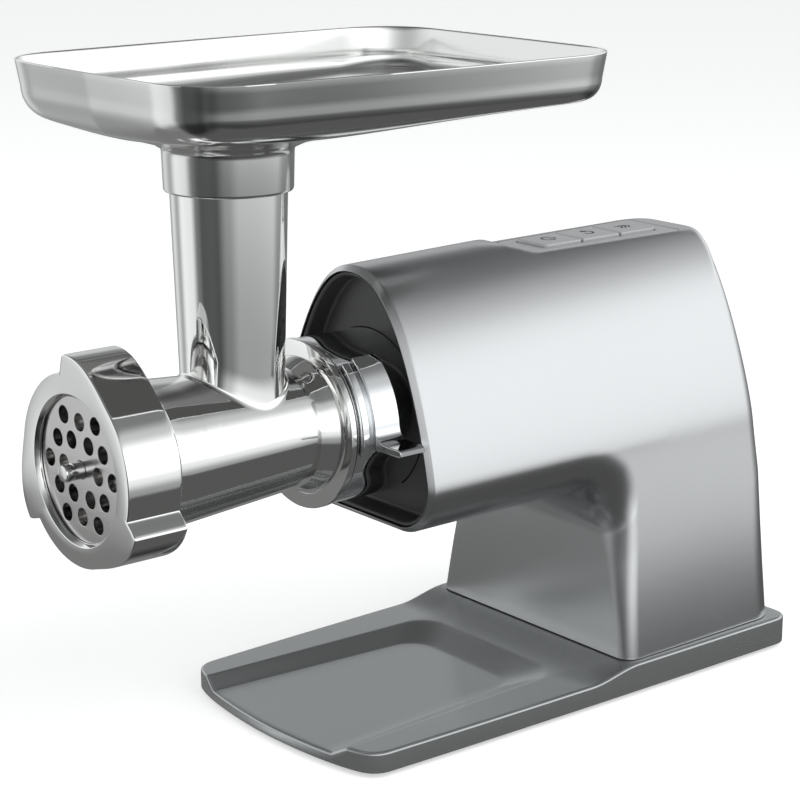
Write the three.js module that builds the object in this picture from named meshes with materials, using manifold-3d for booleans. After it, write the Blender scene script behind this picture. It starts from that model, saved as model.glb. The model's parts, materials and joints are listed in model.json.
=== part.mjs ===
// Electric meat grinder: a motor base with a sculpted housing, a removable cutting head and a loading tray.
// Millimetres. -Y is the front, +Z is up, and x = 0 is the plane that the housing is symmetric about.
import * as THREE from "three";
import { mergeVertices } from "three/addons/utils/BufferGeometryUtils.js";
import Module from "manifold-3d";

const wasm = await Module();
wasm.setup();

// ---------------------------------------------------------------- driving dimensions

// Placing: the machine is drawn from a datum plane at the back of its head, then moved to its own centre.
const DATUM_Y = -70.25;
const FOOT_HEIGHT = 2;

const GAP = 0.3; // between pieces that touch
const ROUND = 24; // sides of a large round piece
const SMALL_ROUND = 14; // sides of a small round piece
const RIGHT_ANGLE = Math.PI / 2;

// Base plate
const BASE_FRONT_Y = -12.5;
const BASE_REAR_Y = 246;
const BASE_HALF_FRONT = 64.7;
const BASE_HALF_REAR = 69.4;
const BASE_TOP_FRONT = 9.4;
const BASE_TOP_REAR = 13.5;
const BASE_WALL = 2.5;
const COVER_THICK = 1.8;
const STEP_START_Y = 118;
const STEP_END_Y = 146;
const RECESS_FLOOR = 5;
const RECESS_HALF_FRONT = 50.5;
const RECESS_HALF_REAR = 46;
const RECESS_REAR_Y = 118;

// Housing: a tapering egg-shaped barrel that turns down into a column
const AXIS_Z = 134.1;
const RIM_Y = 36.8;
const BARREL_BOTTOM = 88.6;
const BARREL_TOP = 197.6;
const TOP_SLOPE = 0.0235;
const WAIST_Z = 109;
const WAIST_HALF = 53.5;
const FOOT_Z = BASE_TOP_REAR + GAP;
const FOOT_HALF = 65;
const EGG_POWERS = [1.2, 2.3]; // shape of the barrel's sides above the waist
const FLARE_POWER = 1.1; // how the sides spread below the waist
const COLUMN_FRONT_Y = 142;
const COLUMN_LEAN = 0.05;
const UNDER_FILLET = 20;
const REAR_Y = 242.5;
const REAR_TOP_Y = 231.5;
const REAR_TOP_R = 16;
const HOUSING_WALL = 2.5;
const GLAND_Z = 34;
const EDGE_ROLL_BARREL = 25;
const EDGE_ROLL_FOOT = 7;
const REAR_ROLL = 15;
const ROLL_POWER = 0.4; // how soon the front edges tighten on the way down the column

// Top panel and its three buttons
const PANEL_Z = 194.4;
const PANEL_FRONT_Y = 126.5;
const PANEL_THICK = 2.4;
const BUTTON_HALF = 10;
const BUTTON_FRONT_Y = 138;
const BUTTON_LENGTH = 23.2;
const BUTTON_PITCH = 24;
const BUTTON_RISE = 1.4;

// Cutting head
const FLANGE_Y = 8.5;
const FLANGE_R = 36.1;
const BARREL_FRONT_Y = -96.4;
const BARREL_R_FRONT = 30.9;
const BARREL_R_REAR = 25.4;
const TUBE_Y = -24.5;
const TUBE_TOP_Z = 251;
const TUBE_R_TOP = 24;
const TUBE_R_BOTTOM = 21;
const TUBE_WALL = 2.4;
const PLATE_R = 31;
const PLATE_FRONT_Y = -97;
const PLATE_THICK = 5;
const PIN_R = 3.5;
const PIN_TIP_Y = -105.5;
const RING_FRONT_Y = -100;
const RING_REAR_Y = -76;
const RING_BORE = 35;
const RING_OPENING = 29.2;
const RING_BASE_R = 39;
const RING_TIP_R = 46;
const LUGS = 3;

// Tray
const TRAY_RIM_Z = 287.6;
const TRAY_COLLAR_Z = 255.5;
const TRAY_COLLAR_END_Z = 236.8;
const TRAY_SHEET = 1.2;
const TRAY_WALL_DROP = 11; // height of the straight wall under the rim
const TRAY_WALL_LEAN = 2; // how far that wall runs in
const TRAY_RISE = 14.5; // how far the floor rises away from the collar, like the mouth of a funnel
const TRAY_REACH = 38; // and over what distance
const COLLAR_R = 26.4;

// Gear train: module, tooth counts and axis heights
const FINE_MODULE = 0.8;
const COARSE_MODULE = 1;
const MOTOR_TEETH = 10;
const FIRST_TEETH = 48;
const SECOND_TEETH = 10;
const OUTPUT_TEETH = 60;
const LAY_Z = AXIS_Z + (COARSE_MODULE * (SECOND_TEETH + OUTPUT_TEETH)) / 2;
const MOTOR_Z = LAY_Z - (FINE_MODULE * (MOTOR_TEETH + FIRST_TEETH)) / 2;

// ---------------------------------------------------------------- materials

const finish = (color, roughness, metalness) =>
  new THREE.MeshStandardMaterial({ color, roughness, metalness });
const SILVER = finish(0xaab0b4, 0.35, 0.6);
const GREY = finish(0x7d8283, 0.4, 0.3);
const CHARCOAL = finish(0x3a3938, 0.5, 0);
const PANEL_GREY = finish(0xa3a5a6, 0.45, 0.3);
const CHROME = finish(0xd8dadb, 0.12, 1);
const STEEL = finish(0xb9bcbe, 0.3, 1);
const BLACK = finish(0x1c1c1d, 0.6, 0);
const RUBBER = finish(0x242424, 0.9, 0);
const NYLON = finish(0xe6e3da, 0.5, 0);
const COPPER = finish(0xb06a35, 0.4, 0.8);
const BOARD_GREEN = finish(0x1f5a3a, 0.6, 0);

// ---------------------------------------------------------------- solids

// A closed geometry as a solid, facing out.
function toSolid(geometry) {
  const bare = geometry.index ? geometry.toNonIndexed() : geometry.clone();
  for (const name of Object.keys(bare.attributes)) if (name !== "position") bare.deleteAttribute(name);
  const merged = mergeVertices(bare, 1e-4);
  const corners = [];
  for (let i = 0; i < merged.index.count; i += 3) {
    const [a, b, c] = [0, 1, 2].map((k) => merged.index.getX(i + k));
    if (a !== b && b !== c && c !== a) corners.push([a, b, c]);
  }
  const build = (faces) =>
    new wasm.Manifold(
      new wasm.Mesh({
        numProp: 3,
        vertProperties: merged.attributes.position.array,
        triVerts: new Uint32Array(faces.flat()),
      }),
    );
  const made = build(corners);
  return made.volume() > 0 ? made : build(corners.map(([a, b, c]) => [a, c, b]));
}

function toGeometry(solid) {
  const mesh = solid.getMesh();
  const places = new Float32Array(mesh.numVert * 3);
  for (let i = 0; i < mesh.numVert; i++) {
    places.set(mesh.vertProperties.subarray(i * mesh.numProp, i * mesh.numProp + 3), i * 3);
  }
  const shared = new THREE.BufferGeometry();
  shared.setAttribute("position", new THREE.BufferAttribute(places, 3));
  shared.setIndex(new THREE.BufferAttribute(mesh.triVerts, 1));
  const flat = shared.toNonIndexed();
  flat.computeVertexNormals();
  return flat;
}

const join = (first, ...rest) => rest.reduce((sum, solid) => sum.add(solid), first);
const cut = (first, ...rest) => rest.reduce((left, solid) => left.subtract(solid), first);

function box([x0, x1], [y0, y1], [z0, z1]) {
  const geometry = new THREE.BoxGeometry(x1 - x0, y1 - y0, z1 - z0);
  return toSolid(geometry.translate((x0 + x1) / 2, (y0 + y1) / 2, (z0 + z1) / 2));
}

// A round bar along Y, from y0 to y1, whose end radii may differ.
function rodY(r, [y0, y1], { x = 0, z = 0, sides = ROUND, endR = r } = {}) {
  const geometry = new THREE.CylinderGeometry(endR, r, y1 - y0, sides);
  return toSolid(geometry.translate(x, (y0 + y1) / 2, z));
}

// A round bar along Z, from z0 to z1, whose end radii may differ.
function rodZ(r, [z0, z1], { x = 0, y = 0, sides = SMALL_ROUND, endR = r } = {}) {
  const geometry = new THREE.CylinderGeometry(endR, r, z1 - z0, sides);
  return toSolid(geometry.rotateX(RIGHT_ANGLE).translate(x, y, (z0 + z1) / 2));
}

// A turned piece about the Y axis: the profile is [radius, y] pairs.
function turnY(profile, sides = ROUND) {
  const points = profile.map(([r, y]) => new THREE.Vector2(r, y));
  return toSolid(new THREE.LatheGeometry(points, sides));
}

// A plain ring about the Y axis.
const ringY = (innerR, outerR, [y0, y1], sides) =>
  turnY([[innerR, y0], [outerR, y0], [outerR, y1], [innerR, y1], [innerR, y0]], sides);

// A turned piece about a vertical axis at (0, y): the profile is [radius, z] pairs.
function turnZ(profile, y = 0, sides = ROUND) {
  const points = profile.map(([r, z]) => new THREE.Vector2(r, z));
  return toSolid(new THREE.LatheGeometry(points, sides).rotateX(RIGHT_ANGLE).translate(0, y, 0));
}

const extrude = (shape, depth, curveSegments) =>
  new THREE.ExtrudeGeometry(shape, { depth, bevelEnabled: false, curveSegments });

// A flat outline in X and Y, raised from z0 to z1.
function raise(shape, [z0, z1], curveSegments = 8) {
  return toSolid(extrude(shape, z1 - z0, curveSegments).translate(0, 0, z0));
}

// An outline in X and Z, drawn out from y0 to y1.
function drawY(shape, [y0, y1], curveSegments = 8) {
  return toSolid(extrude(shape, y1 - y0, curveSegments).rotateX(RIGHT_ANGLE).translate(0, y1, 0));
}

// An outline in Y and Z, drawn out from x0 to x1.
function drawX(shape, [x0, x1], curveSegments = 8) {
  const geometry = extrude(shape, x1 - x0, curveSegments).rotateX(RIGHT_ANGLE).rotateZ(RIGHT_ANGLE);
  return toSolid(geometry.translate(x0, 0, 0));
}

function outline(points) {
  return new THREE.Shape(points.map(([a, b]) => new THREE.Vector2(a, b)));
}

function circle(r, { x = 0, y = 0, sides = ROUND } = {}) {
  const corner = (i) => (2 * Math.PI * i) / sides;
  const point = (_, i) => [x + r * Math.cos(corner(i)), y + r * Math.sin(corner(i))];
  return outline(Array.from({ length: sides }, point));
}

// A rounded rectangle from (x0, y0) to (x1, y1).
function roundedRect([x0, x1], [y0, y1], r) {
  const shape = new THREE.Shape();
  shape.absarc(x1 - r, y1 - r, r, 0, RIGHT_ANGLE);
  shape.absarc(x0 + r, y1 - r, r, RIGHT_ANGLE, Math.PI);
  shape.absarc(x0 + r, y0 + r, r, Math.PI, 3 * RIGHT_ANGLE);
  shape.absarc(x1 - r, y0 + r, r, 3 * RIGHT_ANGLE, 4 * RIGHT_ANGLE);
  return shape;
}

// Joins rings with the same number of points into one skin. With caps, each end is closed by a fan;
// without, the last ring joins the first, as in a bent tube of sheet.
function loft(rings, capped) {
  const count = rings[0].length;
  const positions = [];
  const face = (...points) => points.forEach((p) => positions.push(p.x, p.y, p.z));
  const spans = capped ? rings.length - 1 : rings.length;
  for (let i = 0; i < spans; i++) {
    const here = rings[i];
    const next = rings[(i + 1) % rings.length];
    for (let j = 0; j < count; j++) {
      const k = (j + 1) % count;
      face(here[j], here[k], next[k]);
      face(here[j], next[k], next[j]);
    }
  }
  const close = (ring, flip) => {
    const middle = new THREE.Vector3();
    ring.forEach((p) => middle.addScaledVector(p, 1 / count));
    ring.forEach((p, j) => {
      const q = ring[(j + 1) % count];
      if (flip) face(middle, q, p);
      else face(middle, p, q);
    });
  };
  if (capped) {
    close(rings[0], true);
    close(rings[rings.length - 1], false);
  }
  const geometry = new THREE.BufferGeometry();
  geometry.setAttribute("position", new THREE.Float32BufferAttribute(positions, 3));
  return toSolid(geometry);
}

// ---------------------------------------------------------------- scene graph

const grinder = new THREE.Group();
grinder.name = "meat_grinder";
const machine = new THREE.Group();
machine.position.set(0, DATUM_Y, FOOT_HEIGHT);
grinder.add(machine);

// Head, worm, output parts and hub are drawn about the barrel's axis.
const onAxis = new THREE.Group();
onAxis.position.z = AXIS_Z;
machine.add(onAxis);

function piece(name, solid, material, parent = machine) {
  const mesh = new THREE.Mesh(toGeometry(solid), material);
  mesh.name = name;
  parent.add(mesh);
  return mesh;
}

// ---------------------------------------------------------------- base

function baseOutline(inset) {
  const front = BASE_FRONT_Y + inset;
  const rear = BASE_REAR_Y - inset;
  const nearCorner = BASE_HALF_FRONT - inset;
  const farCorner = BASE_HALF_REAR - inset;
  const bow = 8.5; // how far the front edge's ends sit behind its middle
  const r = 9 - inset / 2;
  const shape = new THREE.Shape();
  shape.moveTo(0, front);
  shape.quadraticCurveTo(nearCorner * 0.6, front + bow * 0.15, nearCorner - r, front + bow * 0.85);
  shape.quadraticCurveTo(nearCorner - 1, front + bow * 1.1, nearCorner, front + bow + r);
  shape.quadraticCurveTo(nearCorner + 3.4, 90, farCorner, rear - r);
  shape.quadraticCurveTo(farCorner, rear, farCorner - r, rear);
  shape.lineTo(-farCorner + r, rear);
  shape.quadraticCurveTo(-farCorner, rear, -farCorner, rear - r);
  shape.quadraticCurveTo(-nearCorner - 3.4, 90, -nearCorner, front + bow + r);
  shape.quadraticCurveTo(-nearCorner + 1, front + bow * 1.1, -nearCorner + r, front + bow * 0.85);
  shape.quadraticCurveTo(-nearCorner * 0.6, front + bow * 0.15, 0, front);
  return shape;
}

// What is cut away above the base: flat at the front, then a smooth step up to the column's foot.
function aboveBase(drop) {
  const low = BASE_TOP_FRONT - drop;
  const high = BASE_TOP_REAR - drop;
  const middleY = (STEP_START_Y + STEP_END_Y) / 2;
  const shape = new THREE.Shape();
  shape.moveTo(BASE_FRONT_Y - 20, 40);
  shape.lineTo(BASE_FRONT_Y - 20, low);
  shape.lineTo(STEP_START_Y, low);
  shape.bezierCurveTo(middleY, low, middleY, high, STEP_END_Y, high);
  shape.lineTo(BASE_REAR_Y + 20, high);
  shape.lineTo(BASE_REAR_Y + 20, 40);
  return shape;
}

// The drip recess: a shallow dish with sloping walls, open at the front edge. Grown, it is also
// the block of material that is left round the recess, so that its floor and walls keep their thickness.
function recessSolid(grow) {
  const ring = (half, rearHalf, rearY, z) => {
    const corner = 14;
    const points = [new THREE.Vector3(half, BASE_FRONT_Y - 12, z)];
    for (let i = 0; i <= 4; i++) {
      const a = (i / 4) * RIGHT_ANGLE;
      points.push(
        new THREE.Vector3(rearHalf - corner + corner * Math.cos(a), rearY - corner + corner * Math.sin(a), z),
      );
    }
    return [...points, ...points.map((p) => new THREE.Vector3(-p.x, p.y, p.z)).reverse()];
  };
  const floor = RECESS_FLOOR - grow;
  const top = BASE_TOP_FRONT - grow;
  const slope = 8; // how far the side walls run in on their way down
  const lift = 4; // the dish is carried on above the top face, so that it cuts clean through
  const rise = top - floor;
  const out = (slope * lift) / rise;
  return loft(
    [
      ring(RECESS_HALF_FRONT - slope, RECESS_HALF_REAR - slope - 3, RECESS_REAR_Y - 17, floor),
      ring(RECESS_HALF_FRONT + out, RECESS_HALF_REAR + out, RECESS_REAR_Y + 2 * out, top + lift),
    ],
    true,
  );
}

const FOOT_X = 52;
const FOOT_FRONT_Y = 16;
const FOOT_BACK_Y = 228;
const SCREW_X = 44;
const SCREW_Y = [156, 206];

function base() {
  const slab = raise(baseOutline(0), [0, BASE_TOP_REAR + 1]);
  const hollowHeight = BASE_TOP_REAR - BASE_WALL;
  const inside = cut(
    raise(baseOutline(BASE_WALL), [-1, hollowHeight + 2]),
    drawX(aboveBase(BASE_WALL), [-90, 90]),
    recessSolid(BASE_WALL),
  );
  const cableWay = box([-20, 20], [176, 214], [hollowHeight - 4, BASE_TOP_REAR + 2]);
  let plate = cut(slab, drawX(aboveBase(0), [-90, 90]), recessSolid(0), inside, cableWay);
  for (const x of [-SCREW_X, SCREW_X]) {
    for (const y of SCREW_Y) {
      plate = cut(plate, rodZ(2.4, [-1, 20], { x, y, sides: 10 }));
    }
  }
  piece("base_plate", plate, GREY);

  let cover = raise(baseOutline(BASE_WALL + GAP), [0.4, 0.4 + COVER_THICK], 5);
  for (const x of [-SCREW_X, SCREW_X]) {
    for (const y of SCREW_Y) cover = cut(cover, rodZ(2.4, [-1, 20], { x, y, sides: 10 }));
    for (const y of [FOOT_FRONT_Y, FOOT_BACK_Y]) {
      cover = cut(cover, rodZ(3 + GAP, [-1, 20], { x: Math.sign(x) * FOOT_X, y, sides: 12 }));
    }
  }
  const slots = 6;
  for (let i = 0; i < slots; i++) {
    const y = 168 + i * 7;
    cover = cut(cover, box([-24, 24], [y, y + 3], [-1, 5]));
  }
  piece("base_cover", cover, CHARCOAL);

  for (const [side, x] of [["left", -FOOT_X], ["right", FOOT_X]]) {
    for (const [end, y] of [["front", FOOT_FRONT_Y], ["rear", FOOT_BACK_Y]]) {
      const pad = turnZ([[0, -FOOT_HEIGHT], [7, -FOOT_HEIGHT], [8, -FOOT_HEIGHT + 0.8], [8, 0.1], [3, 0.1],
        [3, 0.4 + COVER_THICK + GAP], [0, 0.4 + COVER_THICK + GAP]], 0, SMALL_ROUND);
      piece(`foot_${end}_${side}`, pad, RUBBER).position.set(x, y, 0);
    }
  }
  let number = 1;
  for (const x of [-SCREW_X, SCREW_X]) {
    for (const y of SCREW_Y) {
      const screw = turnZ([[0, -0.4], [3.6, -0.4], [3.6, 0.1], [1.9, 0.1], [1.9, 21], [0, 23]], 0, 10);
      piece(`base_screw_${number++}`, screw, STEEL).position.set(x, y, 0);
    }
  }
}

// ---------------------------------------------------------------- housing

function halfWidth(y, z) {
  const top = BARREL_TOP + TOP_SLOPE * (y - RIM_Y);
  if (z >= WAIST_Z) {
    const up = Math.min(1, (z - WAIST_Z) / (top - WAIST_Z));
    return WAIST_HALF * (1 - up ** EGG_POWERS[0]) ** (1 / EGG_POWERS[1]);
  }
  const down = (WAIST_Z - z) / (WAIST_Z - FOOT_Z);
  return WAIST_HALF + (FOOT_HALF - WAIST_HALF) * down ** FLARE_POWER;
}

const roundingLoss = (d, r) => (d < r ? r - Math.sqrt(r * r - (r - d) ** 2) : 0);

// The line that the underside and the column's front follow, then the line of the top and the back.
function housingStations() {
  const lean = Math.atan(COLUMN_LEAN);
  const faceY = (z) => COLUMN_FRONT_Y + COLUMN_LEAN * (z - FOOT_Z);
  const centreZ = BARREL_BOTTOM - UNDER_FILLET;
  const centreY = faceY(centreZ) - UNDER_FILLET / Math.cos(lean);
  const inner = [RIM_Y, 62, 88, 110, 122].map((y) => [y, BARREL_BOTTOM]);
  const arcSteps = 5;
  for (let i = 0; i <= arcSteps; i++) {
    const a = RIGHT_ANGLE - (i / arcSteps) * (RIGHT_ANGLE + lean);
    inner.push([centreY + UNDER_FILLET * Math.cos(a), centreZ + UNDER_FILLET * Math.sin(a)]);
  }
  for (const z of [56, 46, 36, 25, FOOT_Z]) inner.push([faceY(z), z]);

  const topEndY = REAR_TOP_Y - REAR_TOP_R;
  const topZ = (y) => BARREL_TOP + TOP_SLOPE * (y - RIM_Y);
  const outer = [RIM_Y, 62, 90, 115, 140, 165, 187, topEndY].map((y) => [y, topZ(y)]);
  for (const share of [1 / 3, 2 / 3, 1]) {
    const a = RIGHT_ANGLE * (1 - share);
    outer.push([topEndY + REAR_TOP_R * Math.cos(a), topZ(topEndY) - REAR_TOP_R * (1 - Math.sin(a))]);
  }
  const backY = (z) => REAR_Y - (REAR_Y - REAR_TOP_Y) * Math.max(0, (z - 85) / 90) ** 1.2;
  for (const z of [145, 115, 85, 50, FOOT_Z]) outer.push([backY(z), z]);
  return inner.map((point, i) => ({ inner: point, outer: outer[i] }));
}

// One closed ring across the housing, from its inner line to its outer line and back.
function housingRing(station, wall, innerRoll, outerRoll) {
  const from = new THREE.Vector2(...station.inner);
  const to = new THREE.Vector2(...station.outer);
  const along = to.clone().sub(from).normalize();
  from.addScaledVector(along, wall);
  to.addScaledVector(along, -wall);
  const length = from.distanceTo(to);
  const innerR = innerRoll - wall;
  const outerR = Math.max(0, outerRoll - wall);
  const steps = 11;
  const side = [];
  for (let j = 0; j <= steps; j++) {
    const d = (length * (1 - Math.cos((Math.PI * j) / steps))) / 2;
    const p = from.clone().addScaledVector(along, d);
    const half = halfWidth(p.x, p.y) - roundingLoss(d, innerR) - roundingLoss(length - d, outerR) - wall;
    side.push(new THREE.Vector3(Math.max(0.4, half), p.x, p.y));
  }
  return [...side, ...side.map((p) => new THREE.Vector3(-p.x, p.y, p.z)).reverse()];
}

function housingSolid(wall) {
  const stations = housingStations();
  const elbow = 9; // the stations before it keep the barrel's own edge roll
  const backCorner = 7; // the first station of the curve down to the back
  const last = stations.length - 1;
  const rings = stations.map((station, i) => {
    const down = Math.max(0, (i - elbow) / (last - elbow)) ** ROLL_POWER;
    const innerRoll = EDGE_ROLL_BARREL + (EDGE_ROLL_FOOT - EDGE_ROLL_BARREL) * down;
    const outerRoll = REAR_ROLL * THREE.MathUtils.clamp((i - backCorner) / 4, 0, 1);
    return housingRing(station, wall, innerRoll, outerRoll);
  });
  if (wall > 0) {
    rings.unshift(rings[0].map((p) => new THREE.Vector3(p.x, p.y - 5, p.z)));
    rings.push(rings[rings.length - 1].map((p) => new THREE.Vector3(p.x, p.y, p.z - 5)));
  }
  return loft(rings, true);
}

// The slice that is taken off the top to make the flat button deck, dropped by some depth.
function deckCutter(drop) {
  const flat = PANEL_Z - drop;
  const shape = new THREE.Shape();
  shape.moveTo(PANEL_FRONT_Y - 16, 230);
  shape.lineTo(PANEL_FRONT_Y - 14, 202 - drop);
  shape.quadraticCurveTo(PANEL_FRONT_Y - 8, flat, PANEL_FRONT_Y, flat);
  shape.lineTo(REAR_Y + 20, flat);
  shape.lineTo(REAR_Y + 20, 230);
  return drawX(shape, [-70, 70], 5);
}

const PANEL_OUTLINE = [[-12, 129], [12, 129], [14.5, 132], [17.4, 217.5], [-17.4, 217.5], [-14.5, 132]];

function insetOutline(gap) {
  const middleY = 173;
  return outline(PANEL_OUTLINE.map(([x, y]) => [x - Math.sign(x) * gap, y - Math.sign(y - middleY) * gap]));
}

function housing() {
  const inside = cut(housingSolid(HOUSING_WALL), deckCutter(HOUSING_WALL));
  const opening = raise(insetOutline(2), [PANEL_Z - 12, PANEL_Z + 5]);
  const seat = raise(insetOutline(0), [PANEL_Z - PANEL_THICK / 2 - 0.4, PANEL_Z + 5]);
  const glandHole = rodY(6.3, [REAR_Y - 20, REAR_Y + 20], { z: GLAND_Z, sides: 20 });
  let shell = cut(housingSolid(0), deckCutter(0), inside, opening, seat, glandHole);
  for (const side of [-1, 1]) {
    for (const y of SCREW_Y) {
      const boss = rodZ(4.4, [FOOT_Z + 0.4, BOSS_TOP], { x: side * SCREW_X, y, sides: 10 });
      const reach = [side * SCREW_X, side * (FOOT_HALF - 2.6)].sort((a, b) => a - b);
      const rib = box(reach, [y - 1.2, y + 1.2], [FOOT_Z + 0.4, BOSS_TOP - 1]);
      shell = cut(join(shell, boss, rib), rodZ(2.2, [0, BOSS_TOP + 1], { x: side * SCREW_X, y, sides: 10 }));
    }
  }
  piece("housing_shell", shell, SILVER);
}

// Screw bosses inside the column's foot.
const BOSS_TOP = 32;

// The dark panel inside the barrel's mouth: a shallow cup with a round hole for the hub.
const BEZEL_DEPTH = 9;
const BEZEL_FRONT_Y = RIM_Y + 0.8;

function mouthRing(y, wall) {
  const station = { inner: [y, BARREL_BOTTOM], outer: [y, BARREL_TOP + TOP_SLOPE * (y - RIM_Y)] };
  return housingRing(station, wall, EDGE_ROLL_BARREL, 0);
}

function bezel() {
  const skin = 1.8;
  const clear = HOUSING_WALL + GAP;
  const face = BEZEL_FRONT_Y + BEZEL_DEPTH;
  const outside = loft([mouthRing(BEZEL_FRONT_Y, clear), mouthRing(face + skin, clear)], true);
  const hollow = loft([mouthRing(BEZEL_FRONT_Y - 4, clear + skin), mouthRing(face, clear + skin)], true);
  const hole = rodY(HUB_R + GAP, [BEZEL_FRONT_Y - 10, face + 10], { z: AXIS_Z });
  piece("front_bezel", cut(outside, hollow, hole), CHARCOAL);
}

// ---------------------------------------------------------------- hub and lock lever

const HUB_R = 35.6;
const HUB_BORE = 32.6;
const HUB_FRONT_Y = FLANGE_Y + 3.8;
const HUB_REAR_Y = 51;

function hub() {
  const sleeve = turnY([
    [HUB_BORE, HUB_FRONT_Y],
    [HUB_R, HUB_FRONT_Y],
    [HUB_R, HUB_REAR_Y - 1],
    [HUB_R + 3, HUB_REAR_Y - 1],
    [HUB_R + 3, HUB_REAR_Y + 2.6],
    [11, HUB_REAR_Y + 2.6],
    [11, HUB_REAR_Y - 3],
    [HUB_BORE, HUB_REAR_Y - 3],
    [HUB_BORE, HUB_FRONT_Y],
  ]);
  piece("hub_socket", sleeve, CHROME, onAxis);
}

const LEVER_IN_R = HUB_R + GAP;
const LEVER_LIP_R = 38.6;
const LEVER_OUT_R = 40.2;
const LEVER_START = THREE.MathUtils.degToRad(-11);
const LEVER_TOP = THREE.MathUtils.degToRad(52);
const LEVER_TAB_X = 56;
const LEVER_TAB_Z = [-3.9, -1.5];

function arcBand(innerR, outerR, from, to, [y0, y1]) {
  const shape = new THREE.Shape();
  shape.absarc(0, 0, outerR, from, to, false);
  shape.absarc(0, 0, innerR, to, from, true);
  return drawY(shape, [y0, y1], 7);
}

// A lipped band that hugs the hub, with a flat thumb tab standing out from its lower end.
function lockLever() {
  const lipEnd = HUB_FRONT_Y + 4;
  const bandStart = HUB_FRONT_Y + 5.5;
  const bandEnd = HUB_FRONT_Y + 18.5;
  const part = (r, from, to) => arcBand(LEVER_IN_R, r, LEVER_START, LEVER_TOP, [from, to]);
  const lip = part(LEVER_LIP_R, HUB_FRONT_Y + 0.4, lipEnd);
  const neck = part(LEVER_LIP_R - 1.4, lipEnd - 0.1, bandStart);
  const band = part(LEVER_OUT_R, bandStart - 0.1, bandEnd);
  const tab = raise(roundedRect([37, LEVER_TAB_X], [lipEnd, bandEnd - 1], 3), LEVER_TAB_Z);
  const root = [[38.6, bandStart + 0.5], [43, bandStart + 1], [43, bandEnd - 1.5], [38.6, bandEnd - 1]];
  const fillet = raise(outline(root), [LEVER_TAB_Z[0], LEVER_TAB_Z[1] + 1.6]);
  piece("lock_lever", join(lip, neck, band, tab, fillet), CHROME, onAxis);
}

// ---------------------------------------------------------------- cutting head

function headBarrel() {
  const outer = turnY([
    [0, BARREL_FRONT_Y],
    [RING_BORE - 0.5, BARREL_FRONT_Y],
    [RING_BORE - 0.5, RING_REAR_Y + 4],
    [BARREL_R_FRONT + 0.3, RING_REAR_Y + 7],
    [29, -44],
    [27, -14],
    [BARREL_R_REAR, FLANGE_Y - 2],
    [FLANGE_R - 1, FLANGE_Y - 0.4],
    [FLANGE_R, FLANGE_Y + 0.4],
    [FLANGE_R, FLANGE_Y + 3.4],
    [HUB_BORE - 0.6, FLANGE_Y + 3.4],
    [HUB_BORE - 0.6, 40],
    [0, 40],
  ]);
  const tube = turnZ(
    [[0, 0], [TUBE_R_BOTTOM - 0.6, 0], [TUBE_R_BOTTOM, 34], [TUBE_R_TOP - 0.4, TUBE_TOP_Z - AXIS_Z - 18],
      [TUBE_R_TOP, TUBE_TOP_Z - AXIS_Z - 3], [TUBE_R_TOP, TUBE_TOP_Z - AXIS_Z], [0, TUBE_TOP_Z - AXIS_Z]],
    TUBE_Y,
  );
  const tubeBore = turnZ(
    [[0, 5], [TUBE_R_BOTTOM - TUBE_WALL - 1, 5], [TUBE_R_BOTTOM - TUBE_WALL, 34],
      [TUBE_R_TOP - TUBE_WALL, TUBE_TOP_Z - AXIS_Z + 1], [0, TUBE_TOP_Z - AXIS_Z + 1]],
    TUBE_Y,
  );
  const bore = turnY([
    [0, BARREL_FRONT_Y - 1],
    [PLATE_R + 0.4, BARREL_FRONT_Y - 1],
    [PLATE_R + 0.4, PLATE_FRONT_Y + PLATE_THICK + 0.1],
    [WORM_R_FRONT + 1, PLATE_FRONT_Y + PLATE_THICK + 0.1],
    [WORM_R_FRONT + 1, -70],
    [WORM_R_REAR + 1, 2],
    [BUSH_R + 0.3, 2],
    [BUSH_R + 0.3, 41],
    [0, 41],
  ]);
  const plateSeat = PLATE_FRONT_Y + PLATE_THICK + 0.1;
  const keyway = box([-1.8, 1.8], [BARREL_FRONT_Y - 1, plateSeat], [PLATE_R - 2, PLATE_R + 1.6]);
  piece("head_barrel", cut(join(outer, tube), bore, tubeBore, keyway), CHROME, onAxis);
}

const WORM_R_FRONT = 25;
const WORM_R_REAR = 20.5;
const BUSH_R = 12;
const WORM_FRONT_Y = -83.5;
const WORM_REAR_Y = 1.2;
const WORM_PITCH = 26;
const WORM_CORE = 10;
const SQUARE = 9;

// The screw is one skin whose radius swells once a turn, on a helix.
function worm() {
  const around = 14;
  const alongSteps = 21;
  const rings = [];
  for (let i = 0; i <= alongSteps; i++) {
    const share = i / alongSteps;
    const y = WORM_FRONT_Y + (WORM_REAR_Y - WORM_FRONT_Y) * share;
    const edge = WORM_R_FRONT + (WORM_R_REAR - WORM_R_FRONT) * share;
    const ring = [];
    for (let j = 0; j < around; j++) {
      const a = (2 * Math.PI * j) / around;
      const phase = Math.cos(a + (2 * Math.PI * y) / WORM_PITCH);
      const swell = Math.max(0, (phase + 0.1) / 1.1) ** 1.6;
      const r = WORM_CORE + (edge - WORM_CORE) * swell;
      ring.push(new THREE.Vector3(r * Math.cos(a), y, r * Math.sin(a)));
    }
    rings.push(ring);
  }
  const half = SQUARE / 2;
  const square = box([-half, half], [PLATE_FRONT_Y + PLATE_THICK + 0.5, WORM_FRONT_Y + 2], [-half, half]);
  const pinEnd = WORM_FRONT_Y + 1;
  const pin = turnY(
    [[0, PIN_TIP_Y], [PIN_R - 0.7, PIN_TIP_Y], [PIN_R, PIN_TIP_Y + 0.9], [PIN_R, pinEnd], [0, pinEnd]],
    SMALL_ROUND,
  );
  const journal = rodY(BUSH_R - 3, [WORM_REAR_Y - 2, 30], { sides: 20 });
  const tang = box([-5, 5], [28, 43], [-5, 5]);
  piece("worm_screw", join(loft(rings, true), square, pin, journal, tang), STEEL, onAxis);
}

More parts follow.
